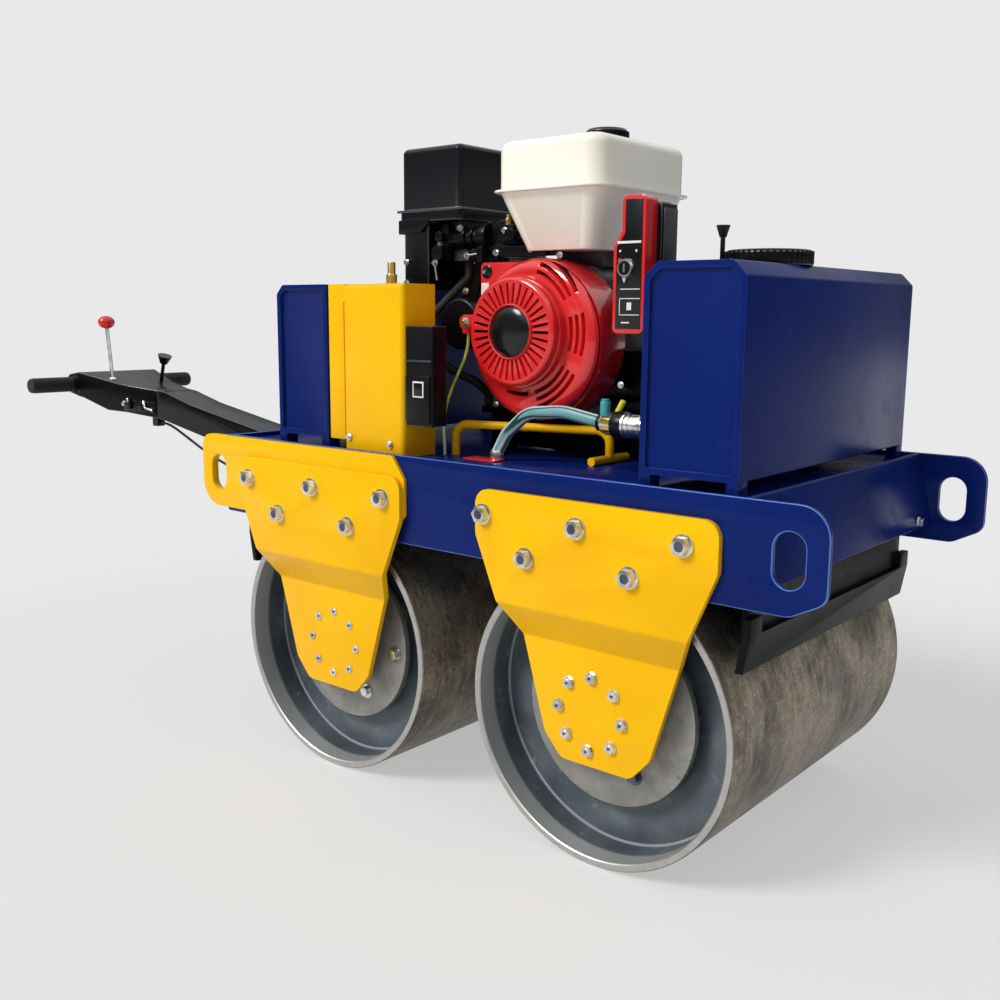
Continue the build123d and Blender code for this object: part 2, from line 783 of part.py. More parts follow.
def leverKnob():
    return Pos(barX + 92, -66.4, barZ + 156) * scale(Sphere(20), by=(1, 1, 0.8)) - driveLever()


def throttleLever():
    lever = between((barX + 144, 48, barZ + 1), (barX + 162, 46, barZ + 53), 4.5)
    lever += Pos(barX + 166, 46, barZ + 63) * Rot(0, 20, 0) * Cone(9, 18, 22)
    return lever - controlHead()


nodes["front_drum_shell"] = drumShell(axleX)
nodes["rear_drum_shell"] = drumShell(-axleX)
for name, x, boltShift in (("front", axleX, -18), ("rear", -axleX, -6)):
    nodes[name + "_hub_near"] = hubNear(x)
    nodes[name + "_hub_far"] = mirrorY(hubNear(x))
    seat = panelOuter if name == "front" else panelOuter + eyePlateThick
    nodes[name + "_axle"] = axle(x, seat - bracketInset)
    nodes[name + "_bracket_near"] = bracket(x, seat, boltShift)
    nodes[name + "_bracket_far"] = mirrorY(bracket(x, seat, boltShift))
for name, shape in (("side_panel", sidePanel()), ("rear_plate", rearPlate()), ("grip", gripNear())):
    nodes[name + "_near"] = shape
    nodes[name + "_far"] = mirrorY(shape)
nodes["front_cross_plate"] = frontCross()
nodes["rear_cross_plate"] = rearCross()
nodes["deck_plate"] = deck()
nodes["centre_beam"] = centreBeam()
nodes["front_scraper"] = scraper(1)
nodes["rear_scraper"] = scraper(-1)
nodes["front_tank"] = frontTank()
nodes["rear_tank"] = rearTank()
nodes["tank_cap"] = tankCap()
nodes["dipstick"] = dipstick()
nodes["yellow_cover"] = yellowCover()
nodes["breather"] = breather()
nodes["electrical_box"] = electricalBox()
nodes["engine_base"] = engineBasePlate()
nodes["engine_block"] = engineBlock()
nodes["fan_cover"] = fanCover()
nodes["recoil_cover"] = recoilCover()
nodes["recoil_centre"] = recoilCentre()
nodes["fuel_tank"] = fuelTank()
nodes["fuel_cap"] = fuelCap()
nodes["air_cleaner"] = airCleaner()
nodes["carburettor"] = carburettor()
nodes["control_box"] = controlBox()
nodes["control_box_back"] = controlBack()
nodes["muffler"] = muffler()
nodes["starter_motor"] = starterMotor()
nodes["hydraulic_pump"] = pump()
nodes["round_cover"] = roundCover()
nodes["wiring_sleeve"] = wiringSleeve()
nodes["ground_wire"] = cord("ground_wire", wireRoute, wireDiameter)
nodes["control_cable"] = cord("control_cable", cableRoute, cableDiameter)
nodes["tube_rail"] = tubeRail()
nodes["hose_foot"] = hoseFoot()
nodes["supply_hose"] = supplyHose()
nodes["hose_coupling"] = hoseCoupling()
nodes["handle_bracket"] = handleBracket()
nodes["handle_beam"] = handleBeam()
nodes["control_head"] = controlHead()
nodes["handlebar"] = handleBar()
nodes["drive_lever"] = driveLever()
nodes["lever_knob"] = leverKnob()
nodes["throttle_lever"] = throttleLever()

lengthMiddle = (frontEyeTip + headRear) / 2
os.makedirs("parts", exist_ok=True)
for name, shape in nodes.items():
    export_step(Pos(-lengthMiddle, 0, 0) * shape, "parts/" + name + ".step")
print(len(nodes), "nodes, moved back by", lengthMiddle)
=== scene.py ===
import json
import math

import bmesh
import bpy
from mathutils import Matrix, Vector
from mathutils.bvhtree import BVHTree

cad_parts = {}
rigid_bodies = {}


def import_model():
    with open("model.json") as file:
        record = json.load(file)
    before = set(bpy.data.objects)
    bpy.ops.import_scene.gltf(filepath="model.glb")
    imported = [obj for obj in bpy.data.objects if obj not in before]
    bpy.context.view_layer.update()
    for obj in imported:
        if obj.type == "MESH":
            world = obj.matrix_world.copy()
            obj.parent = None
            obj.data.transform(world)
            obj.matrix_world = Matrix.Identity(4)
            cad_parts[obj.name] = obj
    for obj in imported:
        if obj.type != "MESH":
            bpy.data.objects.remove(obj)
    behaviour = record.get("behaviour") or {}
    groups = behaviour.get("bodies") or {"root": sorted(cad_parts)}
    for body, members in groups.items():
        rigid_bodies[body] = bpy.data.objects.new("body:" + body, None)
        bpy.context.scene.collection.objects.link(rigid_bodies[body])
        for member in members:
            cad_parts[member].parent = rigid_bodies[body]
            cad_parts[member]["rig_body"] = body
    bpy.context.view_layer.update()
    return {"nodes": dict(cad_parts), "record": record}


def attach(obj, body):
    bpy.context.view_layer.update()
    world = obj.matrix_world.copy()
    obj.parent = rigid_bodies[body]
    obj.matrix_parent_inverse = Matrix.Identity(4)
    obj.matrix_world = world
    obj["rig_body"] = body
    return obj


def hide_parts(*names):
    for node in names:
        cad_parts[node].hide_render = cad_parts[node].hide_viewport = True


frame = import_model()
nodes = frame["nodes"]
print("frame loaded,", len(nodes), "nodes")

lengthShift = 0.4265  # metres from the middle of the drums to the frame's origin


def at(x, y, z):  # a place given in millimetres from the middle of the drums
    return Vector((x / 1000 + lengthShift, y / 1000, z / 1000))


# Camera
cameraView = {"place": (1160.7, -1565.0, 816.0), "turn": 39.761, "drop": 9.672, "roll": 0.419,
              "lens": 39.414, "sensor": 36, "clip": (0.05, 60)}


def makeCamera(view):
    turn, drop, roll = (math.radians(view[key]) for key in ("turn", "drop", "roll"))
    ahead = Vector((-math.sin(turn) * math.cos(drop), math.cos(turn) * math.cos(drop), -math.sin(drop)))
    level = Vector((math.cos(turn), math.sin(turn), 0))
    right = math.cos(roll) * level + math.sin(roll) * level.cross(ahead)
    up = right.cross(ahead)
    data = bpy.data.cameras.new("photoView")
    data.lens, data.sensor_width = view["lens"], view["sensor"]
    data.clip_start, data.clip_end = view["clip"]
    obj = bpy.data.objects.new("photoView", data)
    bpy.context.scene.collection.objects.link(obj)
    turned = Matrix((right, up, -ahead)).transposed().to_4x4()
    obj.matrix_world = Matrix.Translation(at(*view["place"])) @ turned
    bpy.context.scene.camera = obj


makeCamera(cameraView)
print("camera placed")


# Cords: routes, diameters and lengths in millimetres
cordLines = {
    "ground_wire": {
        "route": [(-61, -182, 783), (-61, -182, 761), (-68, -188, 733), (-79, -197, 703), (-88, -205, 670),
                  (-92, -209, 638), (-91, -210, 613), (-89, -210, 593), (-89, -210, 580)],
        "diameter": 5, "length": 210, "body": "chassis", "slot": "green_wire"},
    "control_cable": {
        "route": [(-1205.18, -30, 545), (-1180.18, -30, 545), (-1140.18, -31, 534), (-1090.18, -32, 515),
                  (-1030.18, -33, 492), (-965.18, -34, 471), (-900.18, -32, 456), (-845.18, -29, 450),
                  (-794.18, -27, 450), (-750.18, -27, 450)],
        "diameter": 6, "length": 469, "body": "handle", "slot": "black_rubber"},
}


def makeCord(name, route, diameter, length, body, slot):
    data = bpy.data.curves.new(name + "_line", "CURVE")
    data.dimensions, data.bevel_depth, data.bevel_resolution = "3D", diameter / 2000, 4
    data.use_fill_caps, data.resolution_u = True, 16
    line = data.splines.new("NURBS")
    line.points.add(len(route) - 1)
    for point, place in zip(line.points, route):
        point.co = (*at(*place), 1)
    line.order_u, line.use_endpoint_u = 3, True
    obj = bpy.data.objects.new(name + "_line", data)
    bpy.context.scene.collection.objects.link(obj)
    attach(obj, body)
    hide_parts(name)
    tuple(at(*route[0]))
    return obj


cords = {name: makeCord(name, **values) for name, values in cordLines.items()}
print("cords laid")


# Node trees
class Wire:  # a socket that takes part in Python expressions
    def __init__(self, net, socket):
        self.net, self.socket = net, socket

    def maths(self, kind, *values):
        return self.net.node("ShaderNodeMath", {"operation": kind}, dict(enumerate(values)))

    def __add__(self, other):
        return self.maths("ADD", self, other)

    def __sub__(self, other):
        return self.maths("SUBTRACT", self, other)

    def __mul__(self, other):
        return self.maths("MULTIPLY", self, other)

    def __pow__(self, other):
        return self.maths("POWER", self, other)

    def __abs__(self):
        return self.maths("ABSOLUTE", self)

    def __radd__(self, other):
        return self.maths("ADD", other, self)

    def __rsub__(self, other):
        return self.maths("SUBTRACT", other, self)

    def __rmul__(self, other):
        return self.maths("MULTIPLY", other, self)

    def clamped(self):
        return self.maths("MINIMUM", self.maths("MAXIMUM", self, 0.0), 1.0)

    def ramp(self, low, high):  # 0 below low, 1 above high, smooth between
        return self.net.node("ShaderNodeMapRange", {"interpolation_type": "SMOOTHSTEP"},
                             {"Value": self, "From Min": low, "From Max": high})


class Net:  # any node tree, with its nodes made by one method
    def __init__(self, tree):
        self.tree = tree
        tree.nodes.clear()

    def node(self, kind, settings=None, sockets=None, out=0):
        made = self.tree.nodes.new(kind)
        for key, value in (settings or {}).items():
            setattr(made, key, value)
        for key, value in (sockets or {}).items():
            self.join(made.inputs[key], value)
        return Wire(self, made.outputs[out])

    def join(self, socket, value):
        if isinstance(value, Wire):
            self.tree.links.new(value.socket, socket)
        elif socket.type == "RGBA" and len(value) == 3:
            socket.default_value = (*value, 1)
        else:
            socket.default_value = value

    def split(self, vector):
        made = self.node("ShaderNodeSeparateXYZ", None, {0: vector})
        return [Wire(self, socket) for socket in made.socket.node.outputs]


class Finish(Net):
    def __init__(self, name, **constants):
        self.material = bpy.data.materials.new(name)
        self.material.use_nodes = True
        super().__init__(self.material.node_tree)
        self.shader = self.tree.nodes.new("ShaderNodeBsdfPrincipled")
        self.output = self.tree.nodes.new("ShaderNodeOutputMaterial")
        self.tree.links.new(self.shader.outputs[0], self.output.inputs[0])
        for key, value in constants.items():
            self.feed(key.replace("_", " "), value)

    def feed(self, name, value):
        self.join(self.shader.inputs[name], value)

    def coords(self):  # the piece's own coordinates, the fourth output
        return self.node("ShaderNodeTexCoord", out=3)

    def axes(self):
        return self.split(self.coords())

    def noise(self, scale, detail=3.0, rough=0.5, vector=None, stretch=None):
        place = vector or self.coords()
        if stretch:
            place = self.node("ShaderNodeMapping", None, {"Vector": place, "Scale": stretch})
        return self.node("ShaderNodeTexNoise", None,
                         {"Vector": place, "Scale": scale, "Detail": detail, "Roughness": rough})

    def mix(self, factor, first, second):
        return self.node("ShaderNodeMix", {"data_type": "RGBA"}, {0: factor, 6: first, 7: second}, out=2)

    def bump(self, height, strength, distance):
        self.feed("Normal", self.node("ShaderNodeBump", None, {"Height": height, "Strength": strength,
                                                               "Distance": distance}))


# Finishes. A noise call gives its scale, detail and roughness; a ramp call its two ends.
dirtColour, filmColour = (0.32, 0.29, 0.25), (0.3, 0.29, 0.27)
dirtHeights = (0.1, 0.75)  # metres above the ground between which dirt thins out


def paint(name, colour, shade, rough=0.3, specular=0.3, peel=0.12, dust=0.1, coat=0.0):
    made = Finish(name, Specular_IOR_Level=specular, Coat_Weight=coat, Coat_Roughness=0.08)
    drift = made.noise(5, 4).ramp(0.35, 0.7)
    body = made.mix(drift, colour, shade)
    specks = made.noise(240, 2).ramp(0.68, 0.76)
    haze = made.noise(14, 6, 0.65).ramp(0.5, 0.8)
    nearGround = 1 - made.axes()[2].ramp(*dirtHeights)
    dirt = ((haze * nearGround * 1.5 + specks * 0.5 + haze * 0.3) * dust).clamped()
    made.feed("Base Color", made.mix(dirt, body, dirtColour))
    made.feed("Roughness", rough + 0.14 * haze + 0.3 * dirt)
    made.bump(made.noise(320, 2) + 0.6 * made.noise(40, 2), peel, 0.0006)
    return made.material


# The drums: metres across from the middle, above the ground, from the axle or from the centre plane
drumAxle = {"across": 0.287, "above": 0.230}
drumZones = {"rolling": (0.2283, 0.2292), "endFace": (0.2975, 0.2985), "lip": (0.262, 0.270),
             "lipEnd": (0.2965, 0.2975), "weld": (0.2140, 0.2152), "weldEnd": (0.228, 0.2290),
             "shadow": (0.02, 0.36)}
# The lip colour is a painted sheen and the shadow colour a painted shadow
drumColours = {"wornDark": (0.07, 0.058, 0.042), "wornPale": (0.40, 0.345, 0.25),
               "cool": (0.16, 0.17, 0.18), "rust": (0.26, 0.14, 0.055), "pit": (0.04, 0.034, 0.028),
               "bright": (0.66, 0.61, 0.52), "shadow": (0.03, 0.026, 0.022),
               "steelDark": (0.34, 0.34, 0.33), "steelPale": (0.62, 0.61, 0.58),
               "insideDark": (0.05, 0.065, 0.08), "insidePale": (0.12, 0.145, 0.165),
               "scuff": (0.28, 0.29, 0.29), "lip": (0.50, 0.52, 0.52), "weld": (0.50, 0.54, 0.56)}


def fromAxle(x, z):  # across and above the nearer axle, and the distance from it
    dx, dz = abs(x - lengthShift) - drumAxle["across"], z - drumAxle["above"]
    return dx, dz, (dx * dx + dz * dz) ** 0.5


def drumFinish(name):  # worn rolling face with a painted shadow low down, ground rim faces, painted inside with a painted sheen on the lip
    made = Finish(name, Specular_IOR_Level=0.45)
    zones, tones = drumZones, drumColours
    x, y, z = made.axes()
    dx, dz, radius = fromAxle(x, z)
    rolling = radius.ramp(*zones["rolling"])
    endFace = abs(y).ramp(*zones["endFace"]) * (1 - rolling)
    blotch = made.noise(9, 6, 0.62)
    fine = made.noise(60, 5, 0.7)
    angle = made.node("ShaderNodeMath", {"operation": "ARCTAN2"}, {0: dz, 1: dx})
    unrolled = made.node("ShaderNodeCombineXYZ", None, {0: angle * drumAxle["above"], 1: y})
    streak = made.noise(1, 5, 0.65, unrolled, (11, 62, 1))
    drag = made.noise(1, 5, 0.7, unrolled, (45, 240, 1))
    speck = made.noise(1, 3, 0.7, unrolled, (90, 300, 1)).ramp(0.57, 0.66)
    pit = made.noise(150, 3, 0.7).ramp(0.56, 0.66)
    tone = (0.55 * blotch + 0.2 * fine + 0.25 * streak).ramp(0.37, 0.62)
    wornAndShadowed = made.mix(tone, tones["wornDark"], tones["wornPale"])
    cool = (made.noise(6, 3, 0.5, stretch=(1, 1, 1.3)).ramp(0.5, 0.66) * 0.6).clamped()
    wornAndShadowed = made.mix(cool, wornAndShadowed, tones["cool"])
    rust = (made.noise(22, 6, 0.7).ramp(0.54, 0.7) * 0.5).clamped()
    wornAndShadowed = made.mix(rust, wornAndShadowed, tones["rust"])
    wornAndShadowed = made.mix((0.65 * pit).clamped(), wornAndShadowed, tones["pit"])
    scratch = 0.5 * drag.ramp(0.54, 0.68) * streak.ramp(0.42, 0.6)
    bright = (speck * blotch.ramp(0.40, 0.55) * 0.9 + scratch).clamped()
    wornAndShadowed = made.mix(bright, wornAndShadowed, tones["bright"])
    # Painted shadow: the rolling face darkens towards the ground
    wornAndShadowed = made.mix(0.45 + 0.55 * z.ramp(*zones["shadow"]), tones["shadow"], wornAndShadowed)
    steel = made.mix(fine, tones["steelDark"], tones["steelPale"])
    inside = made.mix(made.noise(7, 5, 0.6).ramp(0.35, 0.7), tones["insideDark"], tones["insidePale"])
    scuff = (made.noise(35, 6, 0.75).ramp(0.58, 0.7) * 0.5).clamped()
    inside = made.mix(scuff, inside, tones["scuff"])
    # Inner lip band: brighter metal, its lighter colour a painted sheen
    lip = abs(y).ramp(*zones["lip"]) * (1 - abs(y).ramp(*zones["lipEnd"]))
    sheen = (lip * (0.6 + 0.4 * drag)).clamped()
    inside = made.mix(sheen, inside, tones["lip"])
    weld = radius.ramp(*zones["weld"]) * (1 - abs(y).ramp(*zones["weldEnd"]))
    inside = made.mix((0.55 * weld).clamped(), inside, tones["weld"])
    made.feed("Base Color", made.mix(rolling, made.mix(endFace, inside, steel), wornAndShadowed))
    made.feed("Metallic", (0.5 * rolling + 0.9 * endFace + 0.5 * sheen * (1 - rolling)).clamped())
    made.feed("Roughness", (0.3 + 0.22 * rolling * fine + 0.12 * fine + 0.08 * rust).clamped())
    made.bump((fine * 0.8 + streak + pit * 0.7) * rolling + 0.25 * fine + 0.4 * drag * endFace, 0.4, 0.0012)
    return made.material


def turnedSteel(name, dark, light, stainColour):  # lathe rings about each axle
    made = Finish(name, Specular_IOR_Level=0.4)
    x, _, z = made.axes()
    radius = fromAxle(x, z)[2]
    ring = made.node("ShaderNodeTexNoise", {"noise_dimensions": "1D"},
                     {"W": radius, "Scale": 900, "Detail": 3})
    cloud = made.noise(16, 5, 0.65)
    stain = (made.noise(40, 5, 0.7).ramp(0.58, 0.7) * 0.5).clamped()
    made.feed("Base Color", made.mix(stain, made.mix(cloud.ramp(0.35, 0.68), dark, light), stainColour))
    made.feed("Metallic", 0.35 + 0.3 * cloud)
    made.feed("Roughness", 0.42 + 0.2 * ring)
    made.bump(ring + 0.5 * cloud, 0.3, 0.0008)
    return made.material


def bareMetal(name, dark, light, rough, metallic=1.0, grain=180, bump=0.12):
    made = Finish(name, Specular_IOR_Level=0.5, Metallic=metallic)
    cloud = made.noise(45, 4, 0.6)
    made.feed("Base Color", made.mix(cloud.ramp(0.3, 0.7), dark, light))
    made.feed("Roughness", rough + 0.18 * cloud)
    made.bump(made.noise(grain, 4, 0.6), bump, 0.0008)
    return made.material


def moulded(name, colour, shade, rough, grain=900, bump=0.1, specular=0.35, dust=0.06):
    made = Finish(name, Specular_IOR_Level=specular)
    cloud = made.noise(20, 5, 0.6)
    film = (made.noise(7, 5, 0.7).ramp(0.45, 0.75) * dust).clamped()
    made.feed("Base Color", made.mix(film, made.mix(cloud.ramp(0.35, 0.7), colour, shade), filmColour))
    made.feed("Roughness", rough + 0.15 * cloud)
    made.bump(made.noise(grain, 3, 0.6), bump, 0.0005)
    return made.material


# The hose's lines run along it: millimetres to the side of its middle, each line's soft start and end
hoseMiddle = -0.209  # metres
hoseLines = {"white": [(-6.2, -5.6, -3.4, -2.8), (3.4, 3.8, 5.0, 5.6)],
             "dark": [(-2.4, -2.0, -0.6, -0.2), (-8.6, -8.2, -7.2, -6.8)]}


def stripedHose(name, dark, light, lineColours):
    made = Finish(name, Specular_IOR_Level=0.45)
    side = (made.axes()[1] - hoseMiddle) * 1000
    cloud = made.noise(20, 4, 0.6)
    body = made.mix(cloud.ramp(0.3, 0.7), dark, light)
    for key in ("dark", "white"):
        first, second = (side.ramp(a, b) * (1 - side.ramp(c, d)) for a, b, c, d in hoseLines[key])
        body = made.mix(first + second, body, lineColours[key])
    made.feed("Base Color", body)
    made.feed("Roughness", 0.28 + 0.15 * cloud)
    made.bump(made.noise(400, 3), 0.06, 0.0004)
    return made.material


sheathHeights = (0.650, 0.664)  # metres: the wire's bare pale sheath lies below


def wireFinish(name, green, yellow, sheath):
    made = Finish(name, Specular_IOR_Level=0.5)
    turn = made.noise(1, 1, 0.5, stretch=(160, 160, 14)).ramp(0.46, 0.54)
    above = made.axes()[2].ramp(*sheathHeights)
    made.feed("Base Color", made.mix(above, sheath, made.mix(turn, green, yellow)))
    made.feed("Roughness", 0.28 + 0.1 * turn)
    made.bump(made.noise(300, 3), 0.03, 0.0004)
    return made.material


# One finish for each slot of the record, then the edges' painted highlights and small parts' own
looks = {
    "blue_paint": paint("bluePaint", (0.0035, 0.0155, 0.135), (0.003, 0.012, 0.108), rough=0.24,
                        specular=0.09, peel=0.08, dust=0.012),
    "yellow_paint": paint("yellowPaint", (0.92, 0.50, 0.0015), (0.86, 0.45, 0.001), rough=0.26,
                          specular=0.12, peel=0.08, dust=0.03),
    "red_paint": paint("redPaint", (0.74, 0.020, 0.022), (0.64, 0.013, 0.015), rough=0.16,
                       specular=0.45, peel=0.05, dust=0.02, coat=0.5),
    "black_paint": paint("blackPaint", (0.0035, 0.0035, 0.005), (0.0025, 0.0025, 0.0035), rough=0.26,
                         specular=0.14, dust=0.008),
    "grey_paint": paint("greyPaint", (0.004, 0.0045, 0.006), (0.003, 0.0035, 0.004), rough=0.40,
                        specular=0.10, peel=0.2, dust=0.01),
    "cream_paint": paint("creamPaint", (0.92, 0.89, 0.78), (0.88, 0.84, 0.72), rough=0.22,
                         specular=0.45, peel=0.03, dust=0.02, coat=0.3),
    "drum_steel": drumFinish("drumSteel"),
    "hub_steel": turnedSteel("hubSteel", (0.24, 0.235, 0.215), (0.36, 0.35, 0.33), (0.09, 0.085, 0.075)),
    "cast_aluminium": bareMetal("castMetal", (0.03, 0.03, 0.032), (0.09, 0.09, 0.09), rough=0.34,
                                metallic=0.6, grain=260, bump=0.35),
    "brass_fitting": bareMetal("brassFitting", (0.45, 0.30, 0.08), (0.68, 0.50, 0.17), rough=0.22),
    "zinc_steel": bareMetal("zincSteel", (0.50, 0.51, 0.50), (0.86, 0.86, 0.84), rough=0.16),
    "black_plastic": moulded("blackPlastic", (0.003, 0.0037, 0.006), (0.002, 0.0025, 0.004), rough=0.24,
                             specular=0.2, dust=0.008),
    "red_plastic": moulded("redPlastic", (0.70, 0.02, 0.015), (0.6, 0.015, 0.01), rough=0.16, grain=300,
                           bump=0.02, specular=0.5, dust=0.0),
    "black_rubber": moulded("blackRubber", (0.012, 0.012, 0.012), (0.02, 0.02, 0.02), rough=0.6, grain=500,
                            bump=0.3, specular=0.3, dust=0.1),
    "teal_hose": stripedHose("tealHose", (0.10, 0.27, 0.29), (0.17, 0.37, 0.38),
                             {"dark": (0.012, 0.03, 0.04), "white": (0.62, 0.72, 0.72)}),
    "green_wire": wireFinish("greenWire", (0.42, 0.56, 0.05), (0.80, 0.82, 0.12), (0.82, 0.82, 0.72)),
    # Lighter edge finishes: painted highlights along rounded edges
    "blueEdge": paint("blueEdge", (0.07, 0.17, 0.50), (0.04, 0.11, 0.38), rough=0.20, specular=0.5,
                      peel=0.05, dust=0.02),
    "yellowEdge": paint("yellowEdge", (0.98, 0.72, 0.10), (0.96, 0.66, 0.05), rough=0.24, specular=0.4,
                        peel=0.05, dust=0.02),
    "blackEdge": moulded("blackEdge", (0.05, 0.053, 0.06), (0.03, 0.032, 0.036), rough=0.24, grain=400,
                         bump=0.03, specular=0.5, dust=0.0),
    # Slot walls in the covers: near black and matte, painted shade in the slots
    "blackHollow": moulded("blackHollow", (0.004, 0.003, 0.003), (0.006, 0.004, 0.004), rough=0.7,
                           grain=300, specular=0.1, dust=0.0),
    "blackGloss": moulded("blackGloss", (0.004, 0.0045, 0.005), (0.006, 0.0065, 0.007), rough=0.10,
                          grain=120, bump=0.05, specular=0.4, dust=0.0),
    "darkSteel": bareMetal("darkSteel", (0.06, 0.075, 0.10), (0.14, 0.16, 0.19), rough=0.22, metallic=0.9),
    "paleLabel": moulded("paleLabel", (0.80, 0.76, 0.74), (0.72, 0.68, 0.66), rough=0.34, grain=300,
                         bump=0.02, specular=0.4, dust=0.1),
}
for key, colour, shade, rough in (("tealCap", (0.03, 0.30, 0.36), (0.05, 0.36, 0.40), 0.28),
                                  ("yellowTag", (0.80, 0.66, 0.02), (0.72, 0.58, 0.02), 0.3),
                                  ("redLine", (0.65, 0.03, 0.02), (0.55, 0.02, 0.015), 0.3)):
    looks[key] = moulded(key, colour, shade, rough, grain=300, bump=0.03, specular=0.5, dust=0.0)
print(len(looks), "finishes made")


# Mesh helpers
def evaluatedMesh(obj):
    graph = bpy.context.evaluated_depsgraph_get()
    return bpy.data.meshes.new_from_object(obj.evaluated_get(graph), preserve_all_data_layers=True,
                                           depsgraph=graph)


def softened(mesh, width, angle=30, edgeHighlightIndex=-1):  # edges sharper than the angle are rounded, their faces taking the material at the given index, the painted edge highlight on dressed nodes
    helper = bpy.data.objects.new("edgeHelper", mesh)
    bpy.context.scene.collection.objects.link(helper)
    bevel = helper.modifiers.new("edges", "BEVEL")
    bevel.width, bevel.segments = width / 1000, 2
    bevel.limit_method, bevel.angle_limit = "ANGLE", math.radians(angle)
    bevel.use_clamp_overlap, bevel.material = True, edgeHighlightIndex
    made = evaluatedMesh(helper)
    bpy.data.objects.remove(helper)
    return made


def addPiece(name, mesh, materials, body, slot, angle=32):
    for face in mesh.polygons:
        face.use_smooth = True
    mesh.set_sharp_from_angle(angle=math.radians(angle))
    mesh.name = name
    obj = bpy.data.objects.new(name, mesh)
    bpy.context.scene.collection.objects.link(obj)
    for place, material in enumerate(materials):  # slots are kept, because clearing them resets the faces
        if place < len(mesh.materials):
            mesh.materials[place] = material
        else:
            mesh.materials.append(material)
    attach(obj, body)
    return obj


# Small parts: boxes, rods, prisms and turned profiles in millimetres from the middle of the drums
turnSides, partAngle = 48, 40


def addBox(work, x0, x1, y0, y1, z0, z1):
    middle = at((x0 + x1) / 2, (y0 + y1) / 2, (z0 + z1) / 2)
    sizes = Matrix.Diagonal(((x1 - x0) / 1000, (y1 - y0) / 1000, (z1 - z0) / 1000, 1))
    bmesh.ops.create_cube(work, size=1, matrix=Matrix.Translation(middle) @ sizes)


def addRod(work, start, end, radius, sides=24, tip=None):
    a, b = at(*start), at(*end)
    turn = (b - a).to_track_quat("Z", "Y").to_matrix().to_4x4()
    bmesh.ops.create_cone(work, cap_ends=True, segments=sides, radius1=radius / 1000,
                          radius2=(tip or radius) / 1000, depth=(b - a).length,
                          matrix=Matrix.Translation((a + b) / 2) @ turn)


def addPrism(work, points, y0, y1):  # an outline of (x, z) points between two y planes
    near = [work.verts.new(at(x, y0, z)) for x, z in points]
    far = [work.verts.new(at(x, y1, z)) for x, z in points]
    work.faces.new(near)
    work.faces.new(far[::-1])
    for k in range(len(points)):
        n = (k + 1) % len(points)
        work.faces.new((near[k], far[k], far[n], near[n]))


def addTurned(work, start, end, profile, index=0):
    # Pairs of (share of the way, radius) turned about the line, with both ends capped
    a, b = at(*start), at(*end)
    turn = (b - a).to_track_quat("Z", "Y").to_matrix()
    hoops = []
    for share, radius in profile:
        outs = [turn @ Vector((math.cos(t), math.sin(t), 0)) * (radius / 1000)
                for t in (2 * math.pi * k / turnSides for k in range(turnSides))]
        hoops.append([work.verts.new(a.lerp(b, share) + out) for out in outs])
    for hoop in (hoops[0][::-1], hoops[-1]):
        work.faces.new(hoop).material_index = index
    for before, after in zip(hoops, hoops[1:]):
        for k in range(turnSides):
            n = (k + 1) % turnSides
            work.faces.new((before[k], before[n], after[n], after[k])).material_index = index


shapeMakers = {"boxes": addBox, "rods": addRod, "prisms": addPrism, "turned": addTurned}


def addPart(name, look, slot=None, body="chassis", edge=0.0, angle=32, **shapes):
    work = bmesh.new()
    for kind, rows in shapes.items():
        for row in rows:
            shapeMakers[kind](work, *row)
    bmesh.ops.recalc_face_normals(work, faces=work.faces)
    mesh = bpy.data.meshes.new(name)
    work.to_mesh(mesh)
    work.free()
    if edge:
        mesh = softened(mesh, edge, partAngle)
    return addPiece(name, mesh, [looks[key] for key in look], body, slot or look[0], angle)


# Dressed copies of the imported nodes: the same shape with its sharp edges softened, widths in millimetres,
# and on blue, yellow and black parts a painted highlight along those edges
usualEdge = 1.1
edgeWidths = {"front_tank": 2.4, "rear_tank": 2.4, "yellow_cover": 1.8, "side_panel_near": 1.6,
              "side_panel_far": 1.6, "front_cross_plate": 1.8, "tube_rail": 0, "supply_hose": 0,
              "engine_block": 1.2, "front_drum_shell": 0, "rear_drum_shell": 0, "recoil_cover": 0.5,
              "air_cleaner": 2.6, "fuel_tank": 1.2, "control_head": 2.4, "handle_beam": 2.4,
              "lever_knob": 0, "ground_wire": 0, "control_cable": 0}
# The rounded edges of these slots take a lighter finish, a painted highlight
edgeHighlightFinishes = {"blue_paint": "blueEdge", "yellow_paint": "yellowEdge", "black_paint": "blackEdge",
                "black_plastic": "blackEdge"}
slotOf = {part["node"]: part["material_slot"] for part in frame["record"]["subparts"]}
mergeReach, flatAngle = 2e-6, math.radians(0.6)

# Faces with a finish of their own, in metres: the brackets' bolts, and the covers' slots painted dark as
# shade
boltStand = 0.0128  # how far the bolts stand out of a bracket's plate
slotDepths = {"recoil_cover": (-0.1955, -0.1925), "fan_cover": (-0.1612, -0.1588)}
shaft = {"across": 0.043, "above": 0.787, "slotsFrom": 0.044, "slotsTo": 0.0785}
fanReach = 0.2


def isHollow(name, x, y, z):
    low, high = slotDepths.get(name, (0, 0))
    if name == "fan_cover":
        return low < y < high and abs(x - lengthShift) < fanReach
    reach = math.hypot(x - lengthShift - shaft["across"], z - shaft["above"])
    return low < y < high and shaft["slotsFrom"] < reach < shaft["slotsTo"]


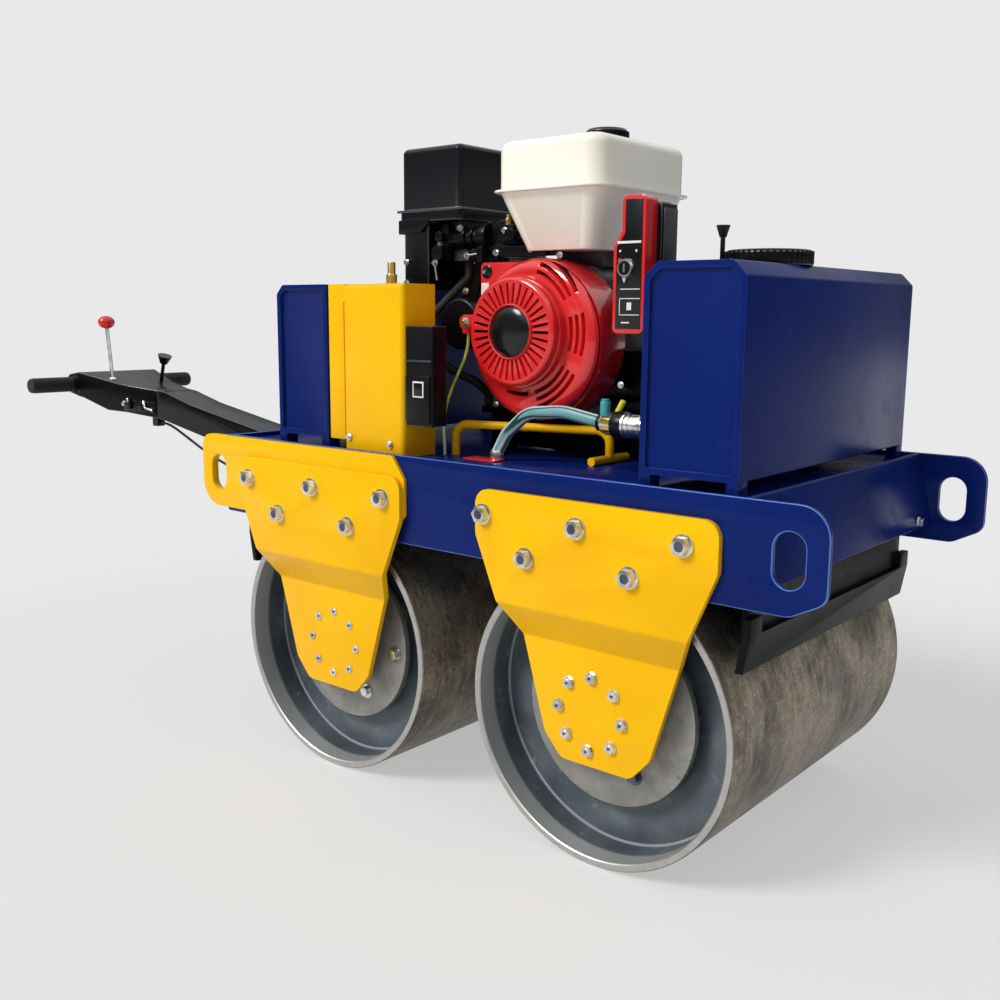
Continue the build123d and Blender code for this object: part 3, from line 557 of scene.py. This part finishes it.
def dressNode(name):
    source, own = nodes[name], slotOf[name]
    work = bmesh.new()
    work.from_mesh(source.data)
    bmesh.ops.remove_doubles(work, verts=work.verts, dist=mergeReach)
    bmesh.ops.dissolve_limit(work, angle_limit=flatAngle, verts=work.verts, edges=work.edges)
    outward = max(abs(v.co.y) for v in work.verts)
    mesh = bpy.data.meshes.new(name + "Dressed")
    work.to_mesh(mesh)
    work.free()
    bolted = "bracket_near" in name or "bracket_far" in name
    # Third finish: bright bolts on the brackets, elsewhere painted shade in the covers' slots
    third = "zinc_steel" if bolted else "blackHollow"
    materials = [looks[key] for key in (own, edgeHighlightFinishes.get(own, own), third)]
    for material in materials:
        mesh.materials.append(material)
    for face in mesh.polygons:
        face.material_index = 0
    made = softened(mesh, edgeWidths.get(name, usualEdge), edgeHighlightIndex=1)
    for face in made.polygons:
        if bolted and abs(face.center.y) > outward - boltStand or isHollow(name, *face.center):
            face.material_index = 2
    obj = addPiece(name + "_soft", made, materials, source["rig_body"], own)
    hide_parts(name)


for name in sorted(nodes):
    if name in cords:
        cords[name].data.materials.append(looks[slotOf[name]])
    elif edgeWidths.get(name, usualEdge):
        dressNode(name)
    else:
        nodes[name].data.materials.clear()
        nodes[name].data.materials.append(looks[slotOf[name]])
print("nodes dressed")


# Geometry Nodes for what repeats
class Tree(Net):  # run on points, it leaves one plain mesh
    def __init__(self, name, inputs):
        group = bpy.data.node_groups.new(name, "GeometryNodeTree")
        super().__init__(group)
        group.interface.new_socket("Points", in_out="INPUT", socket_type="NodeSocketGeometry")
        self.keys = {}
        for label, kind, value in [("Finish", "Material", None), *inputs]:
            socket = group.interface.new_socket(label, in_out="INPUT", socket_type="NodeSocket" + kind)
            if value is not None:
                socket.default_value = value
            self.keys[label] = socket.identifier
        group.interface.new_socket("Result", in_out="OUTPUT", socket_type="NodeSocketGeometry")
        self.start = group.nodes.new("NodeGroupInput")

    def given(self, label):
        return Wire(self, self.start.outputs[label])

    def cylinder(self, sides, radius, depth):
        return self.node("GeometryNodeMeshCylinder", None,
                         {"Vertices": sides, "Radius": radius, "Depth": depth})

    def lifted(self, geometry, height):
        lift = self.node("ShaderNodeCombineXYZ", None, {2: height})
        return self.node("GeometryNodeTransform", None, {"Geometry": geometry, "Translation": lift})

    def joined(self, *parts):
        made = self.tree.nodes.new("GeometryNodeJoinGeometry")
        for part in parts:
            self.tree.links.new(part.socket, made.inputs[0])
        return Wire(self, made.outputs[0])

    def placed(self, points, instance, way, settings):
        facing = self.node("FunctionNodeAlignRotationToVector", settings, {"Vector": way})
        return self.node("GeometryNodeInstanceOnPoints", None,
                         {"Points": points, "Instance": instance, "Rotation": facing})

    def ended(self, geometry):
        whole = self.node("GeometryNodeRealizeInstances", None, {0: geometry})
        kept = self.node("GeometryNodeSetMaterial", None,
                         {"Geometry": whole, "Material": self.given("Finish")})
        self.tree.links.new(kept.socket, self.tree.nodes.new("NodeGroupOutput").inputs[0])
        return self

    def run(self, name, places, values, slot, body="chassis"):
        mesh = bpy.data.meshes.new(name + "Points")
        mesh.from_pydata([at(*place) for place in places], [], [])
        holder = bpy.data.objects.new(name + "Points", mesh)
        bpy.context.scene.collection.objects.link(holder)
        modifier = holder.modifiers.new("tree", "NODES")
        modifier.node_group = self.tree
        for label, value in values.items():
            modifier[self.keys[label]] = value
        made = evaluatedMesh(holder)
        holder.modifiers.remove(modifier)
        bpy.data.objects.remove(holder)
        return addPiece(name, made, [values["Finish"]], body, slot)


def boltTree():  # a six-sided head with a round stud through it, on a washer
    tree = Tree("boltTree", [("Head Radius", "Float", 0.006), ("Head Height", "Float", 0.004),
                             ("Washer Radius", "Float", 0.008), ("Washer Height", "Float", 0.0015),
                             ("Outward", "Vector", (0, -1, 0)), ("Turn Seed", "Int", 7)])
    studShare, sixthTurn = (0.62, 0.62, 1.12), 1.0472
    radius, height, washerHeight = (tree.given(k) for k in ("Head Radius", "Head Height", "Washer Height"))
    head = tree.cylinder(6, radius, height)
    stud = tree.node("GeometryNodeTransform", None, {"Geometry": tree.cylinder(20, radius, height),
                                                     "Scale": studShare})
    head = tree.lifted(tree.joined(head, stud), height * 0.5 + washerHeight)
    washer = tree.lifted(tree.cylinder(24, tree.given("Washer Radius"), washerHeight), washerHeight * 0.5)
    turn = tree.node("FunctionNodeRandomValue", {"data_type": "FLOAT"},
                     {2: 0.0, 3: sixthTurn, "Seed": tree.given("Turn Seed")}, out=1)
    bolt, way = tree.joined(head, washer), tree.given("Outward")
    held = tree.placed(tree.given("Points"), bolt, way, {"axis": "Z"})
    spin = tree.node("ShaderNodeCombineXYZ", None, {2: turn})
    return tree.ended(tree.node("GeometryNodeRotateInstances", None, {"Instances": held, "Rotation": spin}))


def ribTree():  # bars set round the line through each point
    tree = Tree("ribTree", [("Count", "Int", 20), ("Radius", "Float", 0.03),
                            ("Bar", "Vector", (0.002, 0.002, 0.02)), ("Axis", "Vector", (0, 0, 1))])
    circle = tree.node("GeometryNodeMeshCircle", None, {"Vertices": tree.given("Count"),
                                                        "Radius": tree.given("Radius")})
    bar = tree.node("GeometryNodeMeshCube", None, {"Size": tree.given("Bar")})
    place = tree.node("GeometryNodeInputPosition")
    crown = tree.placed(circle, bar, place, {"axis": "X", "pivot_axis": "Z"})
    whole = tree.node("GeometryNodeRealizeInstances", None, {0: crown})
    return tree.ended(tree.placed(tree.given("Points"), whole, tree.given("Axis"), {"axis": "Z"}))


def ringTree():  # raised rings about one direction, one at each point
    tree = Tree("ringTree", [("Radius", "Float", 0.02), ("Width", "Float", 0.003),
                             ("Axis", "Vector", (0, 1, 0))])
    band = tree.cylinder(32, tree.given("Radius"), tree.given("Width"))
    return tree.ended(tree.placed(tree.given("Points"), band, tree.given("Axis"), {"axis": "Z"}))


bolts, ribs, rings = boltTree(), ribTree(), ringTree()
nearWay = (0, -1, 0)


def addBolts(name, places, head, washer, outward=nearWay, body="chassis", look="zinc_steel", seed=7):
    values = {"Finish": looks[look], "Outward": outward, "Turn Seed": seed}
    for part, (radius, height) in (("Head", head), ("Washer", washer)):  # in millimetres
        values[part + " Radius"], values[part + " Height"] = radius / 1000, height / 1000
    bolts.run(name, places, values, "zinc_steel", body)


def addRings(name, places, look, radius, width, axis, slot="zinc_steel", body="chassis"):
    values = {"Finish": looks[look], "Radius": radius, "Width": width, "Axis": axis}
    rings.run(name, places, values, slot, body)


def addParts(parts):  # each entry is a small part, or bolts where it has places
    for name, values in parts.items():
        (addBolts if "places" in values else addPart)(name, **values)


# Bolts on the brackets, hubs and frame
axles = {"front": {"x": 287, "boltShift": -18, "smallCentre": 277, "hubBolt": "darkSteel"},
         "rear": {"x": -287, "boltShift": -6, "smallCentre": -280, "hubBolt": "zinc_steel"}}
axleBolts = {"count": 8, "circle": 57, "plate": 291, "z": 232, "first": 2, "head": (8.5, 6),
             "washer": (9.5, 1.5), "studFace": 299.2}
hubBolts = {"count": 2, "circle": 103, "plate": 256, "z": 230, "first": 152, "head": (9, 8),
            "washer": (13, 1.5)}
bracketBolts, studInset = ((-174, 516), (0, 516), (174, 516), (-91, 459), (91, 459)), 0.38
boltFaces = {"bolt_faces": 0.0072, "small_bolt_faces": 0.0024}  # the dark stud ends' radii in metres
faceWidth = 0.0008


def circlePlaces(x, sign, group):
    turns = [math.radians(group["first"] + 360 * k / group["count"]) for k in range(group["count"])]
    return [(x + group["circle"] * math.sin(t), sign * group["plate"],
             group["z"] + group["circle"] * math.cos(t)) for t in turns]


for end, axle in axles.items():
    for side, sign in (("near", -1), ("far", 1)):
        way = (0, sign, 0)
        small = circlePlaces(axle["smallCentre"], sign, axleBolts)
        addBolts(f"{end}_axle_bolts_{side}", small, axleBolts["head"], axleBolts["washer"], way)
        addBolts(f"{end}_hub_bolts_{side}", circlePlaces(axle["x"], sign, hubBolts), hubBolts["head"],
                 hubBolts["washer"], way, end + "_drum", axle["hubBolt"])
        edge = max(abs(v.co.y) for v in nodes[f"{end}_bracket_{side}"].data.vertices) * 1000 - studInset
        middle = axle["x"] + axle["boltShift"]
        ends = {"bolt_faces": [(middle + dx, sign * edge, z) for dx, z in bracketBolts],
                "small_bolt_faces": [(x, sign * axleBolts["studFace"], z) for x, _, z in small]}
        for kind, radius in boltFaces.items():
            addRings(f"{end}_{kind}_{side}", ends[kind], "darkSteel", radius, faceWidth, way)
addBolts("rear_hub_stud", [(-164, -256, 224)], (10, 9), (14, 2), body="rear_drum")


def hitOn(name, start, way):  # where a line from a place first meets a node, in the same millimetres
    mesh = nodes[name].data
    corners, faces = [v.co for v in mesh.vertices], [tuple(p.vertices) for p in mesh.polygons]
    surface = BVHTree.FromPolygons(corners, faces)
    place = surface.ray_cast(at(*start), Vector(way))[0]
    return ((place.x - lengthShift) * 1000, place.y * 1000, place.z * 1000)


crossBolt = hitOn("front_cross_plate", (700, 248, 481), (-1, 0, 0))
addParts({
    "cover_bolts": {"places": [(-136, -293, 600), (-235, -293, 606)], "head": (4.5, 4),
                    "washer": (6.5, 1.2)},
    "cross_bolts": {"places": [crossBolt], "head": (7, 6), "washer": (9, 1.5), "outward": (1, 0, 0)},
    "deck_strap": {"look": ["red_plastic"], "edge": 0.8, "boxes": [(-24, 42, -238, -206, 580.2, 583.2)]},
    "engine_rail_near": {"look": ["black_paint"], "edge": 0.8, "boxes": [(-104, 194, -38, -32, 582, 643)]},
    "engine_rail_far": {"look": ["black_paint"], "edge": 0.8, "boxes": [(-104, 194, 112, 118, 582, 643)]},
})
print("bolts set")


# Engine: the pull cover's bare centre, shroud fastenings, intake and linkages
engineParts = {
    "ear_bolt": {"places": [(-61, -190, 801)], "head": (6.5, 5), "washer": (9.5, 2)},
    "shroud_bolts": {"places": [(119, -172.5, 906), (204, -121, 707), (-52, -150.3, 884),
                                (-8, -172.3, 668)],
                     "head": (4, 3), "washer": (5.5, 1)},
    "pull_centre_dome": {
        "look": ["blackGloss"], "slot": "black_plastic", "angle": 50,
        "turned": [((43, -201, 787), (43, -207, 787),
                    [(0, 39), (0.35, 36), (0.7, 27), (0.92, 14), (1, 0.4)])]},
    "pull_centre_ring": {
        "look": ["red_paint"], "angle": 50,
        "turned": [((43, -200, 787), (43, -204, 787),
                    [(0, 44.6), (0.7, 44.2), (1, 42.6), (0.7, 41), (0, 40.6)])]},
    "corner_plate": {
        "look": ["blackGloss"], "slot": "black_plastic",
        "turned": [((-48, -150, 884), (-48, -151.5, 884), [(0, 11), (0.6, 11), (1, 10), (1, 0.3)])]},
    "corner_label": {"look": ["paleLabel"], "slot": "black_plastic", "edge": 0.3,
                     "boxes": [(-60, -44, -150.8, -149.5, 824, 866)]},
    "lever_bracket": {
        "look": ["black_paint"], "edge": 0.8,
        "boxes": [(-72, 90, -132, -128, 908, 926), (-72, -60, -150, -128, 900, 926)],
        "rods": [((-72, -120, 930), (-30, -120, 962), 3.2, 12), ((60, -132, 917), (60, -140, 917), 9)]},
    "intake_parts": {
        "look": ["black_paint"], "edge": 1.0,
        "rods": [((-150, -118, 940), (-80, -118, 944), 17), ((-86, -118, 944), (-66, -118, 945), 22),
                 ((-120, -118, 944), (-112, -118, 944), 21), ((-100, -118, 944), (-95, -118, 944), 21),
                 ((-163, -134, 918), (-163, -150, 918), 13), ((-163, -134, 946), (-163, -146, 946), 9),
                 ((-199, -124, 888), (-199, -110, 888), 15), ((-240, -128, 866), (-226, -112, 868), 11),
                 ((-64, -110, 958), (-20, -104, 972), 12), ((-20, -128, 945), (-20, -108, 945), 11)],
        "boxes": [(-176, -150, -134, -70, 905, 968), (-212, -186, -120, -84, 876, 926),
                  (-60, -14, -124, -84, 934, 962)]},
    "intake_bolts": {"places": [(-167, -134.5, 933), (-120, -136, 959), (-208, -121, 900),
                                (-165, -150.5, 901), (-101, -140, 912), (-31, -124.5, 952),
                                (-43, -132.5, 916), (-94, -151, 853), (30, -132.5, 920)],
                     "head": (4.5, 4), "washer": (6, 1.2), "seed": 3},
    "leg_bolts": {"places": [(-238, -147, 904), (-238, -147, 868)], "head": (4.5, 3), "washer": (6, 1),
                  "seed": 5},
    "linkage_rods": {
        "look": ["zinc_steel"],
        "rods": [((-208, -128, 898), (-165, -153, 902), 1.8, 10),
                 ((-165, -153, 902), (-160, -152, 872), 1.8, 10),
                 ((-243, -130, 866), (-229, -133, 866), 7, 16),
                 ((-101, -143, 912), (-70, -134, 916), 1.8, 10)]},
    "fuel_tap_stem": {
        "look": ["brass_fitting"], "edge": 0.5,
        "rods": [((-29, -118, 958), (-29, -118, 972), 6, 16), ((-29, -118, 972), (-29, -118, 978), 4, 16)]},
}
addParts(engineParts)
print("engine details made")


# Air cleaner: the skirt is deeper at its left, and a ridge runs along its seam, coloured lighter as a
# painted highlight
addParts({
    "cleaner_skirt": {"look": ["black_plastic"], "edge": 1.6,
                      "prisms": [([(-251.5, 976), (-251.5, 952), (-199, 953), (-170, 976)], -154, -148)],
                      "boxes": [(-251.5, -246, -148, -20, 952, 976)]},
    "cleaner_ridge": {"look": ["blackEdge"], "slot": "black_plastic", "edge": 0.8,
                      "boxes": [(-253, -102, -155.4, -153, 988, 992.5)]},
})

# Control box: black inset, light marks that say nothing, key switch, painted highlights along the box edges
addParts({
    "switch_panel": {"look": ["blackGloss"], "slot": "black_plastic", "edge": 0.3,
                     "prisms": [([(245, 795), (288, 795), (288, 979), (259, 979), (259, 932), (245, 912)],
                                 -203.2, -201.8)]},
    "switch_marks": {"look": ["paleLabel"], "slot": "black_plastic",
                     "boxes": [(247, 287, -203.9, -203.1, 917, 920.5), (250, 253, -203.8, -203.1, 905, 908),
                               (278, 281, -203.8, -203.1, 905, 908),
                               (262, 272, -203.8, -203.1, 892.5, 893.7),
                               (253, 287, -203.7, -203.1, 851.5, 852.8),
                               (252, 287, -203.7, -203.1, 838, 839.2),
                               (252, 253.2, -203.7, -203.1, 815, 839),
                               (252, 287, -203.7, -203.1, 814.5, 815.7),
                               (265, 273, -203.8, -203.1, 822, 833), (256, 270, -203.7, -203.1, 803, 805)],
                     "prisms": [([(255, 870), (264, 870), (259.5, 861)], -203.8, -203.1)]},
    "switch_dot": {"look": ["redLine"], "slot": "red_plastic",
                   "rods": [((251.5, -203.1, 893), (251.5, -204, 893), 3.4, 16)]},
    "key_switch": {"look": ["zinc_steel", "blackGloss"], "angle": 40,
                   "turned": [((263, -203, 882), (263, -211, 882),
                               [(0, 14), (0.5, 14), (0.8, 12.5), (0.8, 10), (0.45, 9.4)]),
                              ((263, -203, 882), (263, -209, 882), [(0, 9.6), (1, 9.2), (1, 0.4)], 1)],
                   "boxes": [(261.6, 264.4, -210.4, -208, 876, 888)]},
    "switch_box_edges": {"look": ["blackEdge"], "slot": "black_plastic", "edge": 0.8,
                         "boxes": [(301, 303.5, -168, -132, 825, 968), (262, 296, -165, -140, 973, 977)]},
})

# Hose end: black band and valve, brass hexagon, teal cap, yellow tag, raised rings
addParts({
    "coupling_band": {"look": ["black_plastic"], "edge": 0.8,
                      "rods": [((226, -210, 655.6), (234, -210, 655), 12.6),
                               ((256, -210, 655), (274, -210, 655), 20.5, 20),
                               ((262, -214, 655), (262, -214, 675), 9)]},
    "coupling_hexagon": {"look": ["brass_fitting"], "edge": 0.8,
                         "rods": [((236, -210, 655), (254, -210, 655), 17.2, 6)]},
    "teal_cap": {"look": ["tealCap"], "slot": "teal_hose", "edge": 0.8,
                 "rods": [((239, -214, 667), (239, -214, 689), 7.5),
                          ((239, -214, 689), (239, -214, 692), 6)]},
    "yellow_tag": {"look": ["yellowTag"], "slot": "yellow_paint", "edge": 0.6,
                   "rods": [((262, -216, 673), (272, -216, 691), 4.2)]},
})
addRings("coupling_rings", [(284, -210, 655), (303, -210, 655)], "zinc_steel", 0.0176, 0.004, (1, 0, 0))

# Electrical box: lower housing, blank square plate and its face, painted highlight line under the lid
addParts({
    "switch_housing": {"look": ["black_plastic"], "edge": 1.5,
                       "boxes": [(-102.2, -49.2, -290, -285, 640, 716)]},
    "switch_plate": {"look": ["paleLabel"], "slot": "zinc_steel", "edge": 0.4,
                     "boxes": [(-85, -61, -291.2, -289.8, 681, 707)]},
    "switch_plate_face": {"look": ["blackGloss"], "slot": "black_plastic", "edge": 0.2,
                          "boxes": [(-82.5, -63.5, -291.7, -291, 683.5, 704.5)]},
    "lid_line": {"look": ["blackEdge"], "slot": "black_plastic", "edge": 0.4,
                 "boxes": [(-104.2, -48.2, -287.5, -285, 738, 741)]},
})
print("engine side dressed")


# Caps: ribs round the tank cap and the fuel cap, bright ring under the fuel cap
tankRibs = {"count": 44, "inset": 0.6, "bar": 3.0, "heightShare": 0.82}  # millimetres
fuelRibs = {"count": 24, "radius": 33.8, "bar": (4, 4.5, 14), "drop": 1}
fuelRing = {"low": -0.5, "high": 5, "profile": [(0, 39), (0.5, 39), (1, 37), (1, 30)]}


def spanOf(name):  # a node's middle, size and lowest height in millimetres from the middle of the drums
    corners = [v.co for v in nodes[name].data.vertices]
    low, high = ([pick(c[i] for c in corners) * 1000 for i in range(3)] for pick in (min, max))
    middle = [(a + b) / 2 for a, b in zip(low, high)]
    return [middle[0] - lengthShift * 1000, *middle[1:]], [b - a for a, b in zip(low, high)], low[2]


def addRibs(name, place, count, radius, bar):
    ribs.run(name, [place], {"Finish": looks["black_plastic"], "Count": count, "Radius": radius / 1000,
                             "Bar": [side / 1000 for side in bar], "Axis": (0, 0, 1)}, "black_plastic")


middle, size, base = spanOf("tank_cap")
addRibs("tank_cap_ribs", middle, tankRibs["count"], size[0] / 2 - tankRibs["inset"],
        (tankRibs["bar"], tankRibs["bar"], size[2] * tankRibs["heightShare"]))
(x, y, z), size, base = spanOf("fuel_cap")
addRibs("fuel_cap_ribs", (x, y, z - fuelRibs["drop"]), fuelRibs["count"], fuelRibs["radius"],
        fuelRibs["bar"])
addPart("fuel_cap_ring", ["zinc_steel"], angle=50,
        turned=[((x, y, base + fuelRing["low"]), (x, y, base + fuelRing["high"]), fuelRing["profile"])])
print("caps ribbed")


# Handle: ribbed grips, latch with its bright parts, the drive lever's foot
gripRibs = {"x": -1462.18, "z": 631, "first": 124, "step": 5.5, "count": 18, "radius": 0.0186,
            "width": 0.003}
for side, sign in (("near", -1), ("far", 1)):
    outs = [gripRibs["first"] + gripRibs["step"] * k for k in range(gripRibs["count"])]
    places = [(gripRibs["x"], sign * out, gripRibs["z"]) for out in outs]
    addRings("grip_ribs_" + side, places, "black_rubber", gripRibs["radius"], gripRibs["width"], (0, 1, 0),
             "black_rubber", "handle")
addParts({
    "latch_body": {"look": ["black_paint"], "body": "handle", "edge": 0.8,
                   "boxes": [(-1232, -1100, -113.5, -110, 578, 604), (-1216, -1196, -119, -113, 584, 612)],
                   "rods": [((-1150, -113, 592), (-1150, -120, 592), 9)]},
    "latch_bright_parts": {"look": ["zinc_steel"], "body": "handle", "edge": 0.4,
                           "rods": [((-1224, -113, 596), (-1224, -121, 596), 6),
                                    ((-1142, -117, 606), (-1133, -119, 590), 2.6, 12),
                                    ((-1133, -119, 590), (-1103, -118, 586), 2.6, 12),
                                    ((-1208, -118, 609), (-1204, -118, 600), 2.6, 12)]},
    "lever_foot": {"look": ["zinc_steel"], "body": "handle", "edge": 0.5,
                   "rods": [((-1361.2, -62, 640), (-1361.2, -62, 650), 13, 24, 7)]},
})
print("handle dressed")


# Floor, backdrop and light
roomLook = {"fill": ((0.92, 0.96, 1.0), 0.46), "mirrored": ((0.95, 0.98, 1.0), 1.0),
            "shown": ((0.815, 0.815, 0.815), 1.0),
            "heights": {"From Min": 0.12, "From Max": 0.8, "To Min": 0.16, "To Max": 1.5}}
sunLook = {"strength": 2.5, "spread": 20, "colour": (1.0, 0.97, 0.93), "from": (-0.30, -0.72, 0.66)}
floorLook = {"radius": 24, "sides": 96, "height": -0.2, "colour": (0.80, 0.80, 0.80),
             "glow": (0.815, 0.815, 0.815), "nearGlow": 0.55, "fade": (1.3, 2.6)}


def makeRoom():  # a plain backdrop to the camera, a sky that brightens upwards to what mirrors it
    world = bpy.data.worlds.new("paleRoom")
    bpy.context.scene.world = world
    world.use_nodes = True
    net = Net(world.node_tree)
    rays = net.node("ShaderNodeLightPath").socket.node.outputs
    height = net.split(net.node("ShaderNodeTexCoord"))[2]
    height = net.node("ShaderNodeMapRange", {"interpolation_type": "SMOOTHSTEP"},
                      {"Value": height, **roomLook["heights"]})
    lights = [dict(zip(("Color", "Strength"), roomLook[key])) for key in ("fill", "mirrored", "shown")]
    fill, mirrored, shown = (net.node("ShaderNodeBackground", None, light) for light in lights)
    net.join(mirrored.socket.node.inputs["Strength"], height)
    glossy = net.node("ShaderNodeMath", {"operation": "MAXIMUM"},
                      {0: Wire(net, rays["Is Glossy Ray"]), 1: Wire(net, rays["Is Transmission Ray"])})
    unseen = net.node("ShaderNodeMixShader", None, {0: glossy, 1: fill, 2: mirrored})
    seen = Wire(net, rays["Is Camera Ray"])
    whole = net.node("ShaderNodeMixShader", None, {0: seen, 1: unseen, 2: shown})
    net.join(net.tree.nodes.new("ShaderNodeOutputWorld").inputs[0], whole)


def makeSun():
    sun = bpy.data.lights.new("softSun", "SUN")
    sun.energy, sun.color = sunLook["strength"], sunLook["colour"]
    sun.angle = math.radians(sunLook["spread"])
    lamp = bpy.data.objects.new("softSun", sun)
    lamp.matrix_world = Vector(sunLook["from"]).to_track_quat("Z", "Y").to_matrix().to_4x4()
    bpy.context.scene.collection.objects.link(lamp)


def makeFloor():  # pale where shadows fall, glowing like the backdrop further out
    mesh = bpy.data.meshes.new("floor")
    work = bmesh.new()
    bmesh.ops.create_circle(work, cap_ends=True, segments=floorLook["sides"], radius=floorLook["radius"])
    work.to_mesh(mesh)
    work.free()
    floor = bpy.data.objects.new("floor", mesh)
    floor.location = at(0, 0, floorLook["height"])
    bpy.context.scene.collection.objects.link(floor)
    ground = Finish("paleFloor", Specular_IOR_Level=0.1, Roughness=0.9)
    x, y, _ = ground.axes()
    distance, near = (x * x + y * y) ** 0.5, floorLook["nearGlow"]
    far = near + (1 - near) * distance.ramp(*floorLook["fade"])
    ground.feed("Base Color", floorLook["colour"])
    glow = ground.node("ShaderNodeEmission", None, {"Color": floorLook["glow"]})
    lit = Wire(ground, ground.shader.outputs[0])
    whole = ground.node("ShaderNodeMixShader", None, {0: far, 1: lit, 2: glow})
    ground.join(ground.output.inputs[0], whole)
    mesh.materials.append(ground.material)


bpy.context.scene.view_settings.view_transform = "Standard"
makeRoom()
makeSun()
makeFloor()
print("stage lit")
